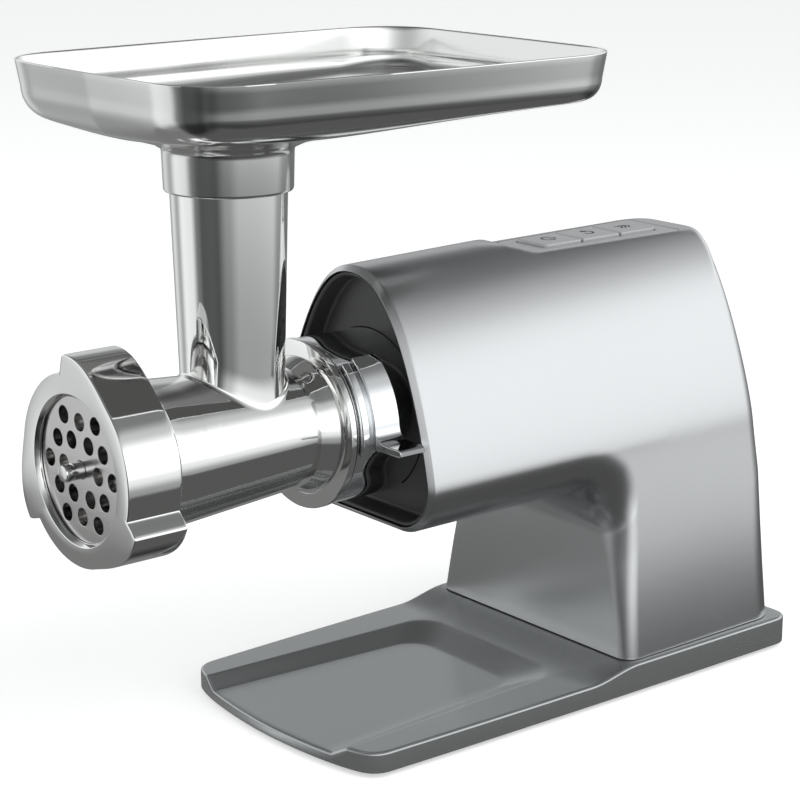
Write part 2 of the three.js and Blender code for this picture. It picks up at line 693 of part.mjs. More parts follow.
function bush() {
  piece("worm_bush", ringY(BUSH_R - 2.7, BUSH_R, [3, 26], 20), NYLON, onAxis);
}

function knife() {
  const blades = 4;
  const reach = 23.5;
  const [y0, y1] = [PLATE_FRONT_Y + PLATE_THICK + GAP, WORM_FRONT_Y - GAP];
  let star = rodY(9.5, [y0, y1], { sides: 20 });
  for (let i = 0; i < blades; i++) {
    const blade = new THREE.ExtrudeGeometry(outline([[0, -3.4], [reach, -1.4], [reach, 2.6], [0, 5]]), {
      depth: (y1 - y0) * 0.8,
      bevelEnabled: false,
    });
    blade.rotateX(RIGHT_ANGLE).translate(0, y0 + (y1 - y0) * 0.8, 0).rotateY((i * 2 * Math.PI) / blades);
    star = join(star, toSolid(blade));
  }
  const hole = SQUARE / 2 + GAP;
  piece("cutting_knife", cut(star, box([-hole, hole], [y0 - 1, y1 + 1], [-hole, hole])), STEEL, onAxis);
}

// Eighteen round holes in three rings of six, round the hole for the worm's pin.
const HOLE_R = 3.6;
const HOLE_RINGS = [[12.5, 0], [19.2, Math.PI / 6], [23.1, 0]];

function mincingPlate() {
  const disc = circle(PLATE_R);
  disc.holes.push(circle(PIN_R + GAP, { sides: 12 }));
  for (const [radius, turn] of HOLE_RINGS) {
    for (let i = 0; i < 6; i++) {
      const a = turn + (i * Math.PI) / 3;
      disc.holes.push(circle(HOLE_R, { x: radius * Math.cos(a), y: radius * Math.sin(a), sides: 10 }));
    }
  }
  const plate = drawY(disc, [PLATE_FRONT_Y, PLATE_FRONT_Y + PLATE_THICK]);
  const keySpan = [PLATE_FRONT_Y + 0.4, PLATE_FRONT_Y + PLATE_THICK];
  const key = box([-1.5, 1.5], keySpan, [PLATE_R - 1.5, PLATE_R + 1.3]);
  piece("mincing_plate", join(plate, key), CHROME, onAxis);
}

// The ring nut: three saw-tooth grips, each rising in a step and falling away smoothly.
function ringRadius(a) {
  const turn = (2 * Math.PI) / LUGS;
  const first = THREE.MathUtils.degToRad(103);
  const past = (((first - a) % turn) + turn) % turn;
  const rise = THREE.MathUtils.degToRad(5);
  const fall = THREE.MathUtils.degToRad(50);
  const tip = RING_TIP_R - RING_BASE_R;
  if (past < rise) return RING_BASE_R + tip * Math.sin((past / rise) * RIGHT_ANGLE);
  const share = (past - rise) / fall;
  return RING_BASE_R + (share < 1 ? (tip * (1 + Math.cos(Math.PI * share))) / 2 : 0);
}

function ringNut() {
  const steps = 72;
  const edge = [];
  for (let i = 0; i < steps; i++) {
    const a = (2 * Math.PI * i) / steps + THREE.MathUtils.degToRad(3);
    const r = ringRadius(a);
    edge.push([r * Math.cos(a), r * Math.sin(a)]);
  }
  const body = drawY(outline(edge), [RING_FRONT_Y, RING_REAR_Y]);
  const bore = turnY([
    [0, RING_FRONT_Y - 1],
    [RING_OPENING + 1.2, RING_FRONT_Y - 1],
    [RING_OPENING, RING_FRONT_Y + 1],
    [RING_OPENING, PLATE_FRONT_Y - GAP],
    [RING_BORE, PLATE_FRONT_Y - GAP],
    [RING_BORE, RING_REAR_Y + 1],
    [0, RING_REAR_Y + 1],
  ]);
  piece("ring_nut", cut(body, bore), CHROME, onAxis);
}

// ---------------------------------------------------------------- tray

// Rim corners, clockwise from the front: a long rounded rectangle, a little wider behind its middle.
function trayRim(steps) {
  const shape = new THREE.Shape();
  shape.moveTo(0, -89.3);
  shape.lineTo(44, -88.6);
  shape.bezierCurveTo(62, -88, 71.4, -78, 72.6, -60);
  shape.quadraticCurveTo(76.4, 0, 76.5, 50);
  shape.lineTo(76.3, 95);
  shape.quadraticCurveTo(75.6, 122, 50, 123.5);
  shape.lineTo(0, 124);
  const right = shape.getSpacedPoints(steps);
  return [...right, ...right.slice(1, -1).reverse().map((p) => new THREE.Vector2(-p.x, p.y))];
}

// A point of the pan, so far in from the rim point p towards the collar. The floor rises away from
// the collar, and the steep wall meets it in a fillet that is as wide as it is high.
// The outer skin is lowered by the sheet's thickness, and the inner skin's wall is moved in by it.
function trayPoint(p, step, lower, shrink) {
  const middle = new THREE.Vector2(0, TUBE_Y);
  const out = p.clone().sub(middle);
  const radius = out.length();
  const full = radius - COLLAR_R + 1;
  const floorZ = (d) => TRAY_COLLAR_Z + TRAY_RISE * (1 - Math.exp((d - full) / TRAY_REACH));
  const wallFootZ = TRAY_RIM_Z - TRAY_WALL_DROP;
  const fillet = wallFootZ - floorZ(TRAY_WALL_LEAN);
  if (step === 0) {
    const edge = middle.addScaledVector(out.divideScalar(radius), radius - shrink);
    return new THREE.Vector3(edge.x, edge.y, TRAY_RIM_Z);
  }
  const share = step - 1;
  const filletEnd = TRAY_WALL_LEAN + fillet;
  const d = share > 1 ? filletEnd + (full - filletEnd) * (share - 1) : TRAY_WALL_LEAN + fillet * share;
  const z = floorZ(d) + fillet * (1 - Math.sqrt(1 - Math.max(0, 1 - share) ** 2)) - lower;
  const place = middle.addScaledVector(out.divideScalar(radius), radius - d - (share > 1 ? 0 : shrink));
  return new THREE.Vector3(place.x, place.y, z);
}

function tray() {
  const rim = trayRim(17);
  // The rim, the wall's foot, three steps round the fillet, its end, and three steps to the collar.
  const steps = [0, 1, 1.1, 1.3, 1.6, 2, 2.4, 2.75, 3];
  const skin = (lower, shrink) => steps.map((step) => rim.map((p) => trayPoint(p, step, lower, shrink)));
  const collar = (r, z) =>
    rim.map((p) => {
      const a = Math.atan2(p.y - TUBE_Y, p.x);
      return new THREE.Vector3(r * Math.cos(a), TUBE_Y + r * Math.sin(a), z);
    });
  const outside = [
    ...skin(TRAY_SHEET, 0),
    collar(COLLAR_R, TRAY_COLLAR_Z - 3),
    collar(COLLAR_R - 0.6, TRAY_COLLAR_END_Z),
  ];
  const inside = [
    collar(TUBE_R_TOP + GAP, TRAY_COLLAR_END_Z),
    collar(TUBE_R_TOP + GAP, TUBE_TOP_Z + GAP),
    collar(TUBE_R_TOP - TUBE_WALL, TUBE_TOP_Z + GAP),
    collar(TUBE_R_TOP - TUBE_WALL, TRAY_COLLAR_Z),
    ...skin(0, TRAY_SHEET).reverse(),
  ];
  piece("tray", loft([...outside, ...inside], false), CHROME);
}

// ---------------------------------------------------------------- controls

function controls() {
  let panel = raise(insetOutline(GAP), [PANEL_Z - PANEL_THICK / 2, PANEL_Z - 0.1]);
  panel = join(panel, raise(insetOutline(2 + GAP), [PANEL_Z - PANEL_THICK, PANEL_Z - PANEL_THICK / 2 + 0.1]));
  const buttonY = (i) => BUTTON_FRONT_Y + i * BUTTON_PITCH;
  for (let i = 0; i < 3; i++) {
    const hole = roundedRect(
      [-BUTTON_HALF - GAP, BUTTON_HALF + GAP],
      [buttonY(i) - GAP, buttonY(i) + BUTTON_LENGTH + GAP],
      i === 1 ? 1 : 3,
    );
    panel = cut(panel, raise(hole, [PANEL_Z - 10, PANEL_Z + 5], 4));
  }
  for (const x of [-7, 7]) {
    for (const y of [134.4, 213.6]) {
      panel = join(panel, rodZ(1.8, [PANEL_Z - 10.7, PANEL_Z - 1], { x, y, sides: 10 }));
    }
  }
  piece("button_panel", panel, PANEL_GREY);

  ["power", "reverse", "speed"].forEach((name, i) => {
    const middleY = buttonY(i) + BUTTON_LENGTH / 2;
    const cap = raise(
      roundedRect([-BUTTON_HALF, BUTTON_HALF], [-BUTTON_LENGTH / 2, BUTTON_LENGTH / 2], i === 1 ? 1 : 3),
      [-PANEL_THICK - 0.4, BUTTON_RISE],
      4,
    );
    const stem = rodZ(2, [-8, -PANEL_THICK], { sides: 10 });
    piece(`button_${name}`, join(cap, stem), PANEL_GREY).position.set(0, middleY, PANEL_Z);
    const spring = turnZ([[2.6, -9.3], [4, -9.3], [4, -3.1], [2.6, -3.1], [2.6, -9.3]], 0, 10);
    piece(`button_spring_${name}`, spring, STEEL).position.set(0, middleY, PANEL_Z);
  });

  let board = box([-12, 12], [131, 217], [PANEL_Z - 12.6, PANEL_Z - 11]);
  for (let i = 0; i < 3; i++) {
    const y = buttonY(i) + BUTTON_LENGTH / 2;
    board = join(board, box([-4.5, 4.5], [y - 4.5, y + 4.5], [PANEL_Z - 11.1, PANEL_Z - 9.6]));
  }
  piece("control_board", board, BOARD_GREEN);
}

// ---------------------------------------------------------------- gears, motor and electrics

// A spur gear's outline: each tooth is a short trapezium, thin enough to leave backlash.
function gearOutline(teeth, module, phase) {
  const pitchR = (teeth * module) / 2;
  const rootR = pitchR - 1.2 * module;
  const tipR = pitchR + 0.85 * module;
  const pitchAngle = (2 * Math.PI) / teeth;
  const halfAtPitch = pitchAngle * 0.215;
  const spread = Math.tan(THREE.MathUtils.degToRad(20)) * module;
  const points = [];
  for (let i = 0; i < teeth; i++) {
    const a = phase + i * pitchAngle;
    const rootHalf = Math.min(pitchAngle * 0.42, halfAtPitch + (1.2 * spread) / rootR);
    const tipHalf = Math.max(pitchAngle * 0.05, halfAtPitch - (0.85 * spread) / tipR);
    for (const [r, offset] of [[rootR, -rootHalf], [tipR, -tipHalf], [tipR, tipHalf], [rootR, rootHalf]]) {
      points.push([r * Math.cos(a + offset), r * Math.sin(a + offset)]);
    }
  }
  return outline(points);
}

const gear = (teeth, module, phase, span) => drawY(gearOutline(teeth, module, phase), span);

const OUTPUT_GEAR_Y = [59, 67];
const FIRST_GEAR_Y = [71, 77];
const BOX_FRONT_Y = 54.2;
const BOX_REAR_Y = 84;

// Two circles joined by their outer tangents, as an outline in X and Z.
function gearboxOutline(grow) {
  const low = { z: AXIS_Z, r: 34 + grow };
  const high = { z: LAY_Z, r: 22.4 + grow };
  const lean = Math.asin((low.r - high.r) / (high.z - low.z));
  const shape = new THREE.Shape();
  shape.absarc(0, high.z, high.r, lean, Math.PI - lean, false);
  shape.absarc(0, low.z, low.r, Math.PI - lean, 2 * Math.PI + lean, false);
  return shape;
}

function gearbox() {
  const wall = 2.4;
  const outside = drawY(gearboxOutline(0), [BOX_FRONT_Y, BOX_REAR_Y - 3], 10);
  const hollow = drawY(gearboxOutline(-wall), [BOX_FRONT_Y + wall, BOX_REAR_Y], 10);
  const outputHole = rodY(8, [BOX_FRONT_Y - 5, BOX_REAR_Y], { z: AXIS_Z, sides: 20 });
  piece("gearbox_housing", cut(outside, hollow, outputHole), STEEL);

  const lid = drawY(gearboxOutline(0), [BOX_REAR_Y - 3 + GAP, BOX_REAR_Y], 10);
  const layHole = rodY(2.6, [BOX_REAR_Y - 10, BOX_REAR_Y + 5], { z: LAY_Z, sides: 12 });
  const motorHole = rodY(5.2, [BOX_REAR_Y - 10, BOX_REAR_Y + 5], { z: MOTOR_Z, sides: SMALL_ROUND });
  piece("gearbox_cover", cut(lid, layHole, motorHole), STEEL);

  const bearing = ringY(6.3, 7.7, [0, 4.4], SMALL_ROUND);
  piece("output_bearing", bearing, STEEL).position.set(0, BOX_FRONT_Y - 0.1, AXIS_Z);

  // The output gear carries the coupling that drives the worm's square tang.
  const tangHole = 5 + GAP;
  const disc = cut(
    gear(OUTPUT_TEETH, COARSE_MODULE, 0, OUTPUT_GEAR_Y),
    rodY(6.3, [OUTPUT_GEAR_Y[0] - 1, OUTPUT_GEAR_Y[1] + 1], { sides: 20 }),
  );
  piece("output_gear", disc, STEEL, onAxis);
  const shaft = join(
    rodY(9, [32, 50.5], { sides: 20 }),
    rodY(6, [50, OUTPUT_GEAR_Y[1] + 3], { sides: 20 }),
  );
  const socket = box([-tangHole, tangHole], [31, 44], [-tangHole, tangHole]);
  piece("output_coupling", cut(shaft, socket), STEEL, onAxis);

  const layPhase = -RIGHT_ANGLE + Math.PI / SECOND_TEETH; // a tooth of one meets a gap of the other
  const layGear = new THREE.Group();
  layGear.position.z = LAY_Z;
  machine.add(layGear);
  const cluster = cut(
    join(
      gear(SECOND_TEETH, COARSE_MODULE, layPhase, [OUTPUT_GEAR_Y[0] - 0.5, FIRST_GEAR_Y[0] + 0.5]),
      gear(FIRST_TEETH, FINE_MODULE, -RIGHT_ANGLE, FIRST_GEAR_Y),
    ),
    rodY(2.5 + 0.1, [50, 90], { sides: 12 }),
  );
  piece("lay_gear", cluster, NYLON, layGear);
  piece("lay_pin", rodY(2.5, [BOX_FRONT_Y + wall + GAP, BOX_REAR_Y - 0.2], { sides: 12 }), STEEL, layGear);
}

const CAN_FRONT_Y = 84.3;
const CAN_REAR_Y = 168;
const CAN_R = 29;
const ROTOR_R = 19.6;
const SLOT_FLOOR_R = 12;

function motor() {
  const group = new THREE.Group();
  group.position.z = MOTOR_Z;
  machine.add(group);

  piece("motor_can", ringY(CAN_R - 2, CAN_R, [CAN_FRONT_Y, CAN_REAR_Y], 20), STEEL, group);
  const cap = (y0, y1) => ringY(6.4, CAN_R - 2 - GAP, [y0, y1], 20);
  piece("motor_front_cap", cap(CAN_FRONT_Y, CAN_FRONT_Y + 4), STEEL, group);
  piece("motor_rear_cap", cap(CAN_REAR_Y - 4, CAN_REAR_Y), BLACK, group);
  for (const [side, centre] of [["left", Math.PI], ["right", 0]]) {
    const spread = 1.1;
    const arc = arcBand(20.5, CAN_R - 2 - GAP - 0.3, centre - spread, centre + spread, [98, 142]);
    piece(`motor_magnet_${side}`, arc, BLACK, group);
  }
  const bearing = (y0) => ringY(3.1, 6.1, [y0, y0 + 4], SMALL_ROUND);
  piece("motor_bearing_front", bearing(CAN_FRONT_Y), STEEL, group);
  piece("motor_bearing_rear", bearing(CAN_REAR_Y - 4), STEEL, group);

  const pinionSpan = [FIRST_GEAR_Y[0] - 0.5, FIRST_GEAR_Y[1] + 0.5];
  const pinion = gear(MOTOR_TEETH, FINE_MODULE, RIGHT_ANGLE + Math.PI / MOTOR_TEETH, pinionSpan);
  const neck = rodY(2.4, [FIRST_GEAR_Y[1], 82], { sides: 12 });
  const shaft = join(pinion, neck, rodY(3, [81, 176], { sides: 12 }));
  piece("motor_shaft", shaft, STEEL, group);

  // Eight winding slots, each narrower at its floor than at its mouth.
  const slots = 8;
  const half = Math.PI / slots;
  const open = 0.09;
  const rim = [-half + open, 0, half - open].map((offset) => [ROTOR_R, offset]);
  const floor = [half - open / 2, half + open / 2].map((offset) => [SLOT_FLOOR_R, offset]);
  const coreEdge = [];
  for (let i = 0; i < slots; i++) {
    const a = (2 * Math.PI * i) / slots;
    for (const [r, offset] of [...rim, ...floor]) {
      coreEdge.push([r * Math.cos(a + offset), r * Math.sin(a + offset)]);
    }
  }
  const core = cut(drawY(outline(coreEdge), [102, 138]), rodY(3.3, [90, 150], { sides: 12 }));
  piece("rotor_core", core, COPPER, group);
  piece("commutator", ringY(3.3, 9, [148, 160], SMALL_ROUND), COPPER, group);
  for (const [side, sign] of [["left", -1], ["right", 1]]) {
    const reach = [9.4 * sign, 20 * sign].sort((a, b) => a - b);
    piece(`carbon_brush_${side}`, box(reach, [150, 158], [-3, 3]), BLACK, group);
  }
  const fanBlades = 7;
  let fan = rodY(7, [171, 176.5], { sides: 14 });
  for (let i = 0; i < fanBlades; i++) {
    const blade = new THREE.BoxGeometry(18, 4.4, 1.2).translate(15, 173.8, 0);
    blade.rotateY((2 * Math.PI * i) / fanBlades);
    fan = join(fan, toSolid(blade));
  }
  piece("motor_fan", cut(fan, rodY(3.3, [160, 180], { sides: 12 })), BLACK, group);
}

function electrics() {
  let board = box([-34, 34], [222, 223.6], [30, 84]);
  board = join(
    board,
    box([-26, -8], [206, 222.1], [52, 76]),
    box([4, 26], [210, 222.1], [44, 60]),
    rodY(7, [202, 222.1], { x: 16, z: 74, sides: 14 }),
  );
  piece("power_board", board, BOARD_GREEN);
  // A grommet: a groove between two lips, which grips the edge of the shell's hole.
  const inside = [[3.4, 3.2], [3.4, -7]];
  const grommet = [...inside, [8, -7], [8, -3.4], [6, -3.4], [6, 0.6], [8.4, 0.6], [7.6, 2.6], inside[0]];
  piece("cord_gland", turnY(grommet, SMALL_ROUND), RUBBER).position.set(0, REAR_Y, GLAND_Z);
}

base();
housing();
bezel();
hub();
lockLever();
headBarrel();
worm();
bush();
knife();
mincingPlate();
ringNut();
tray();
controls();
gearbox();
motor();
electrics();

export default grinder;
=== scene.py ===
"""The looks of an electric meat grinder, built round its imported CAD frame.

Shapes are written in millimetres from a datum at the back of the head, as the CAD is, and go into the
frame's metres through place(). -Y is the front and +Z is up.
"""
import json
import math

import bmesh
import bpy
import numpy as np
from mathutils import Matrix, Vector


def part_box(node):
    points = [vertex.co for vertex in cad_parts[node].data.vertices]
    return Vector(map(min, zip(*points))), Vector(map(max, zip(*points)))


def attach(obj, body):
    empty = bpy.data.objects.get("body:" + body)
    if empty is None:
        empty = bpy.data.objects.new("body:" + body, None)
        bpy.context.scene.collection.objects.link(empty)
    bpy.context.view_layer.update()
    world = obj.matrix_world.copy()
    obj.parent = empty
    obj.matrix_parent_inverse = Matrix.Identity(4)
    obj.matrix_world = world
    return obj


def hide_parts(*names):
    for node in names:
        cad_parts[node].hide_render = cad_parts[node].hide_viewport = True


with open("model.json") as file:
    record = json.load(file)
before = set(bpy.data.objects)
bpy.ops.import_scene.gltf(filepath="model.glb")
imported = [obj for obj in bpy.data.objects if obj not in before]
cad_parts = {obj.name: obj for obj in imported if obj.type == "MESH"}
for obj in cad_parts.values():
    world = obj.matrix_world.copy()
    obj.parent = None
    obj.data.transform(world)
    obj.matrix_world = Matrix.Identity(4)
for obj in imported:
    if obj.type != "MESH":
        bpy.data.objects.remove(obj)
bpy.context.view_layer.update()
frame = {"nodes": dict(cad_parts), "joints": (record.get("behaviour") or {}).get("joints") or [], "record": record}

# -------------------- the frame

RING_FRONT_Y = -100.0
FOOT_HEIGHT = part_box("base_plate")[0].z * 1000
DATUM = np.array([0.0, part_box("ring_nut")[0].y * 1000 - RING_FRONT_Y, FOOT_HEIGHT])
JOINTS = {joint["name"]: joint for joint in frame["joints"]}
AXIS_Z = JOINTS["drive_spin"]["pos_m"][2] * 1000 - FOOT_HEIGHT


def place(points):
    """Millimetres from the datum, as metres in the frame."""
    return (np.asarray(points, float) + DATUM) / 1000


def box_of(node):
    """A CAD node's lowest and highest corners, in millimetres from the datum."""
    low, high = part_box(node)
    return np.array(low) * 1000 - DATUM, np.array(high) * 1000 - DATUM


# -------------------- driving dimensions, in millimetres

GAP = 0.3
THREAD_PITCH = 2.4
SHELL_LOW, SHELL_HIGH = box_of("housing_shell")
RIM_Y = SHELL_LOW[1]
FOOT_Z = SHELL_LOW[2]
FOOT_HALF = SHELL_HIGH[0]
REAR_Y = SHELL_HIGH[1]
BARREL_BOTTOM = 88.6
BARREL_TOP = 197.6
TOP_SLOPE = 0.0235
WAIST_Z = 109.0
WAIST_HALF = 53.5
COLUMN_FRONT_Y = 142.0
COLUMN_LEAN = 0.05
UNDER_FILLET = 20.0
REAR_TOP_Y = 231.5
REAR_TOP_R = 16.0
WALL = 2.5
PANEL_Z = 194.4

HUB_R = 35.6
HUB_FRONT_Y = box_of("hub_socket")[0][1]
TUBE_Y = -24.5
TUBE_TOP_Z = box_of("head_barrel")[1][2]
PLATE_LOW, PLATE_HIGH = box_of("mincing_plate")
RING_REAR_Y = box_of("ring_nut")[1][1]
TRAY_LOW, TRAY_HIGH = box_of("tray")
TRAY_RIM_Z = TRAY_HIGH[2]
TRAY_COLLAR_Z = 255.5
COLLAR_R = 26.4
SHEET = 1.2
BASE_LOW, BASE_HIGH = box_of("base_plate")
BASE_FRONT_Z = 9.4
GLAND_Z = 34.0
UP_TO_AXIS = Matrix.Translation((0, 0, AXIS_Z / 1000))


# -------------------- mesh helpers


def finish_mesh(mesh, sharp=32.0):
    """Welds, turns the faces out, shades smooth, and keeps edges over so many degrees sharp."""
    work = bmesh.new()
    work.from_mesh(mesh)
    bmesh.ops.remove_doubles(work, verts=work.verts, dist=1e-6)
    bmesh.ops.delete(work, geom=[v for v in work.verts if not v.link_faces], context="VERTS")
    bmesh.ops.recalc_face_normals(work, faces=work.faces)
    for face in work.faces:
        face.smooth = True
    for edge in work.edges:
        edge.smooth = len(edge.link_faces) != 2 or edge.calc_face_angle(0) < math.radians(sharp)
    work.to_mesh(mesh)
    work.free()
    mesh.update()


def in_scene(name, data):
    """A new object in the scene, for mesh, curve, light or camera data."""
    made = bpy.data.objects.new(name, data)
    bpy.context.scene.collection.objects.link(made)
    return made


def bake(thing):
    """Applies a thing's modifiers, or turns a curve into a mesh."""
    bpy.context.view_layer.update()
    seen = thing.evaluated_get(bpy.context.evaluated_depsgraph_get())
    mesh = bpy.data.meshes.new_from_object(seen)
    if thing.type == "MESH":
        thing.modifiers.clear()
        thing.data = mesh
        return thing
    name = thing.name
    bpy.data.objects.remove(thing)
    return in_scene(name, mesh)


def fit(thing, body, slot, *nodes, finish=None, sharp=32.0, flats=True):
    """Finishes a piece and puts it in the frame: its body, its finish and the CAD nodes it stands for.

    flats keeps broad flat faces flat in the shading up to their rounded edges.
    """
    finish_mesh(thing.data, sharp)
    thing.data.materials.clear()
    thing.data.materials.append(finish or FINISH[slot])
    if flats:
        even = thing.modifiers.new("flats", "WEIGHTED_NORMAL")
        even.keep_sharp = True
    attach(thing, body)
    if nodes:
        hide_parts(*nodes)
    return thing


class Shape:
    """Points and faces gathered from several parts of one mesh."""

    def __init__(self):
        self.points = []
        self.faces = []

    def add(self, points):
        start = len(self.points)
        self.points.extend(np.asarray(points, float).tolist())
        return list(range(start, len(self.points)))

    def bridge(self, one, other, closed=True):
        n = len(one)
        for j in range(n if closed else n - 1):
            k = (j + 1) % n
            self.faces.append((one[j], one[k], other[k], other[j]))

    def loft(self, loops, ring=False, caps=False):
        rows = [self.add(loop) for loop in loops]
        for one, other in zip(rows, rows[1:]):
            self.bridge(one, other)
        if ring:
            self.bridge(rows[-1], rows[0])
        if caps:
            self.faces.append(tuple(reversed(rows[0])))
            self.faces.append(tuple(rows[-1]))
        return rows

    def made(self, name):
        mesh = bpy.data.meshes.new(name)
        mesh.from_pydata([tuple(point) for point in place(self.points)], [], self.faces)
        return in_scene(name, mesh)


def lofted(name, loops, ring=False, caps=False):
    shape = Shape()
    shape.loft(loops, ring, caps)
    return shape.made(name)


def mix(one, other, share):
    return one * (1 - share) + other * share


def bend(u, start, corner, end):
    """A place on the curve that sets out for a corner and turns to the end, for u from 0 to 1."""
    return (1 - u) ** 2 * start + 2 * u * (1 - u) * corner + u**2 * end


def eased(points, radius=0.5, steps=3, closed=False):
    """A profile whose corners are rounded by short curves."""
    points = [np.array(p, float) for p in points]
    out = []
    n = len(points)
    for i, corner in enumerate(points):
        if not closed and i in (0, n - 1):
            out.append(corner)
            continue
        before, after = points[i - 1] - corner, points[(i + 1) % n] - corner
        a, b = np.linalg.norm(before), np.linalg.norm(after)
        if min(a, b) < 1e-6:
            continue
        t = min(radius, 0.45 * a, 0.45 * b)
        start, end = corner + before / a * t, corner + after / b * t
        out += [bend(u, start, corner, end) for u in np.linspace(0, 1, steps + 1)]
    return np.array(out)


def whole_turn(sides):
    return np.linspace(0, 2 * math.pi, sides, endpoint=False)


def about_axis(r, y, angles, z=AXIS_Z):
    """Points round a line along Y: the one that the hub, head, plate and worm share, or one at z."""
    return np.c_[r * np.cos(angles), np.broadcast_to(y, angles.shape), z + r * np.sin(angles)]


def turn_y(profile, sides, z=AXIS_Z):
    """Rings about a line along Y from [radius, y] pairs."""
    return [about_axis(r, y, whole_turn(sides), z) for r, y in profile]


def turn_z(profile, x, y, sides):
    """Rings about a vertical line from [radius, z] pairs."""
    a = whole_turn(sides)
    return [np.c_[x + r * np.cos(a), y + r * np.sin(a), np.full(sides, z)] for r, z in profile]


def flat_piece(name, outlines, depth, bevel, *moves):
    """A plate cut from flat outlines (the first is the rim, the rest are holes) with rounded edges."""
    curve = bpy.data.curves.new(name, "CURVE")
    curve.dimensions = "2D"
    curve.fill_mode = "BOTH"
    curve.extrude = (depth / 2 - bevel) / 1000
    curve.bevel_depth = bevel / 1000
    curve.bevel_resolution = 2
    curve.offset = -bevel / 1000
    for outline in outlines:
        spline = curve.splines.new("POLY")
        spline.points.add(len(outline) - 1)
        spline.use_cyclic_u = True
        for point, (u, v) in zip(spline.points, outline):
            point.co = (u / 1000, v / 1000, 0, 1)
    made = bake(in_scene(name, curve))
    for move in moves:
        made.data.transform(move)
    return made


def standing(y):
    """Turns a flat piece to face the front, with its middle plane at y: its u is X and its v is Z."""
    return Matrix.Translation(place([0, y, 0])) @ Matrix.Rotation(math.pi / 2, 4, "X")


def lying(z):
    return Matrix.Translation(place([0, 0, z]))


def circle(r, x=0.0, y=0.0, sides=48):
    a = whole_turn(sides)
    return np.c_[x + r * np.cos(a), y + r * np.sin(a)]


def arc(r, start, end, steps):
    a = np.radians(np.linspace(start, end, steps))
    return np.c_[r * np.cos(a), r * np.sin(a)]


def bezier(*controls, steps=24):
    t = np.linspace(0, 1, steps)[:, None]
    controls = [np.array(c, float) for c in controls]
    while len(controls) > 1:
        controls = [(1 - t) * a + t * b for a, b in zip(controls, controls[1:])]
    return controls[0]


def resampled(line, count):
    """A line's points again, evenly spaced along it."""
    step = np.r_[0, np.cumsum(np.linalg.norm(np.diff(line, axis=0), axis=1))]
    at = np.linspace(0, step[-1], count)
    return np.c_[tuple(np.interp(at, step, line[:, k]) for k in range(line.shape[1]))]


def smooth_step(low, high, value):
    t = np.clip((np.asarray(value, float) - low) / (high - low), 0, 1)
    return t * t * (3 - 2 * t)


def smooth_min(a, b, k):
    h = np.clip(0.5 + 0.5 * (b - a) / k, 0, 1)
    return b + (a - b) * h - k * h * (1 - h)


# -------------------- materials


def feed(tree, socket, value):
    """Gives an input a value, or links it when the value is another node's output."""
    if isinstance(value, bpy.types.NodeSocket):
        tree.links.new(value, socket)
    else:
        socket.default_value = value


def node(tree, kind, *in_order, **named):
    """A node with its inputs fed in order or by name. Names in lower case are its own settings."""
    made = tree.nodes.new("ShaderNode" + kind)
    for key in filter(str.islower, named):
        setattr(made, key, named[key])
    for socket, value in zip(made.inputs, in_order):
        feed(tree, socket, value)
    for key, value in named.items():
        if not key.islower():
            feed(tree, made.inputs[key.replace("_", " ")], value)
    return made


def result(tree, kind, *in_order, **named):
    """The first output in use of a new node."""
    return next(socket for socket in node(tree, kind, *in_order, **named).outputs if socket.enabled)


def empty_tree(owner):
    """The cleared node tree of a material or a world."""
    owner.use_nodes = True
    owner.node_tree.nodes.clear()
    return owner.node_tree


def mixed_color(tree, share, one, other):
    return result(tree, "Mix", data_type="RGBA", Factor=share, A=(*one, 1), B=(*other, 1))


def surface(
    name, color, roughness, metallic=0.0, *, tone=0.06, cloud=18.0, spread=0.04, grain=900.0, bump=0.02,
    stretch=(1, 1, 1), coat=0.0, specular=0.5,
):
    """A finish with slow changes of tone and gloss, and a fine grain in its surface.

    tone is how far the colour varies, cloud and grain are the scales of the slow and the fine noise,
    spread is how far the roughness varies, and stretch draws the grain out along an axis.
    """
    material = bpy.data.materials.new(name)
    tree = empty_tree(material)
    where = node(tree, "TexCoord").outputs["Object"]
    slow = node(tree, "TexNoise", Vector=where, Scale=cloud, Detail=4.0, Roughness=0.55).outputs["Fac"]
    drawn = result(tree, "Mapping", Vector=where, Scale=stretch)
    fine = node(tree, "TexNoise", Vector=drawn, Scale=grain, Detail=3.0, Roughness=0.6).outputs["Fac"]
    dark, light = [c * (1 - tone) for c in color], [min(1.0, c * (1 + tone)) for c in color]
    half = result(tree, "MapRange", slow, 0, 1, 0, 0.5)
    both = result(tree, "Math", fine, 0.5, half, operation="MULTIPLY_ADD")
    gloss = result(tree, "MapRange", both, 0, 1, max(0.0, roughness - spread), roughness + spread)
    shader = node(
        tree, "BsdfPrincipled", Metallic=metallic, Coat_Weight=coat, Specular_IOR_Level=specular,
        Roughness=gloss, Base_Color=mixed_color(tree, slow, dark, light),
    )
    node(tree, "OutputMaterial", shader.outputs["BSDF"])
    if bump:
        raised = result(tree, "Bump", Strength=bump, Distance=0.0004, Height=fine)
        feed(tree, shader.inputs["Normal"], raised)
    return material


def striped(name, color, dark, roughness, metallic, scale, direction="Y"):
    """Machined or wound stock: fine bands across the piece."""
    material = surface(name, color, roughness, metallic, tone=0.08)
    tree = material.node_tree
    made = {n.type: n for n in tree.nodes}
    bands = node(
        tree, "TexWave", Vector=made["TEX_COORD"].outputs["Object"], Scale=scale, Distortion=0.4, Detail=1.0,
        bands_direction=direction,
    ).outputs["Fac"]
    feed(tree, made["BSDF_PRINCIPLED"].inputs["Base Color"], mixed_color(tree, bands, dark, color))
    feed(tree, made["BUMP"].inputs["Height"], bands)
    feed(tree, made["BUMP"].inputs["Strength"], 0.25)
    return material


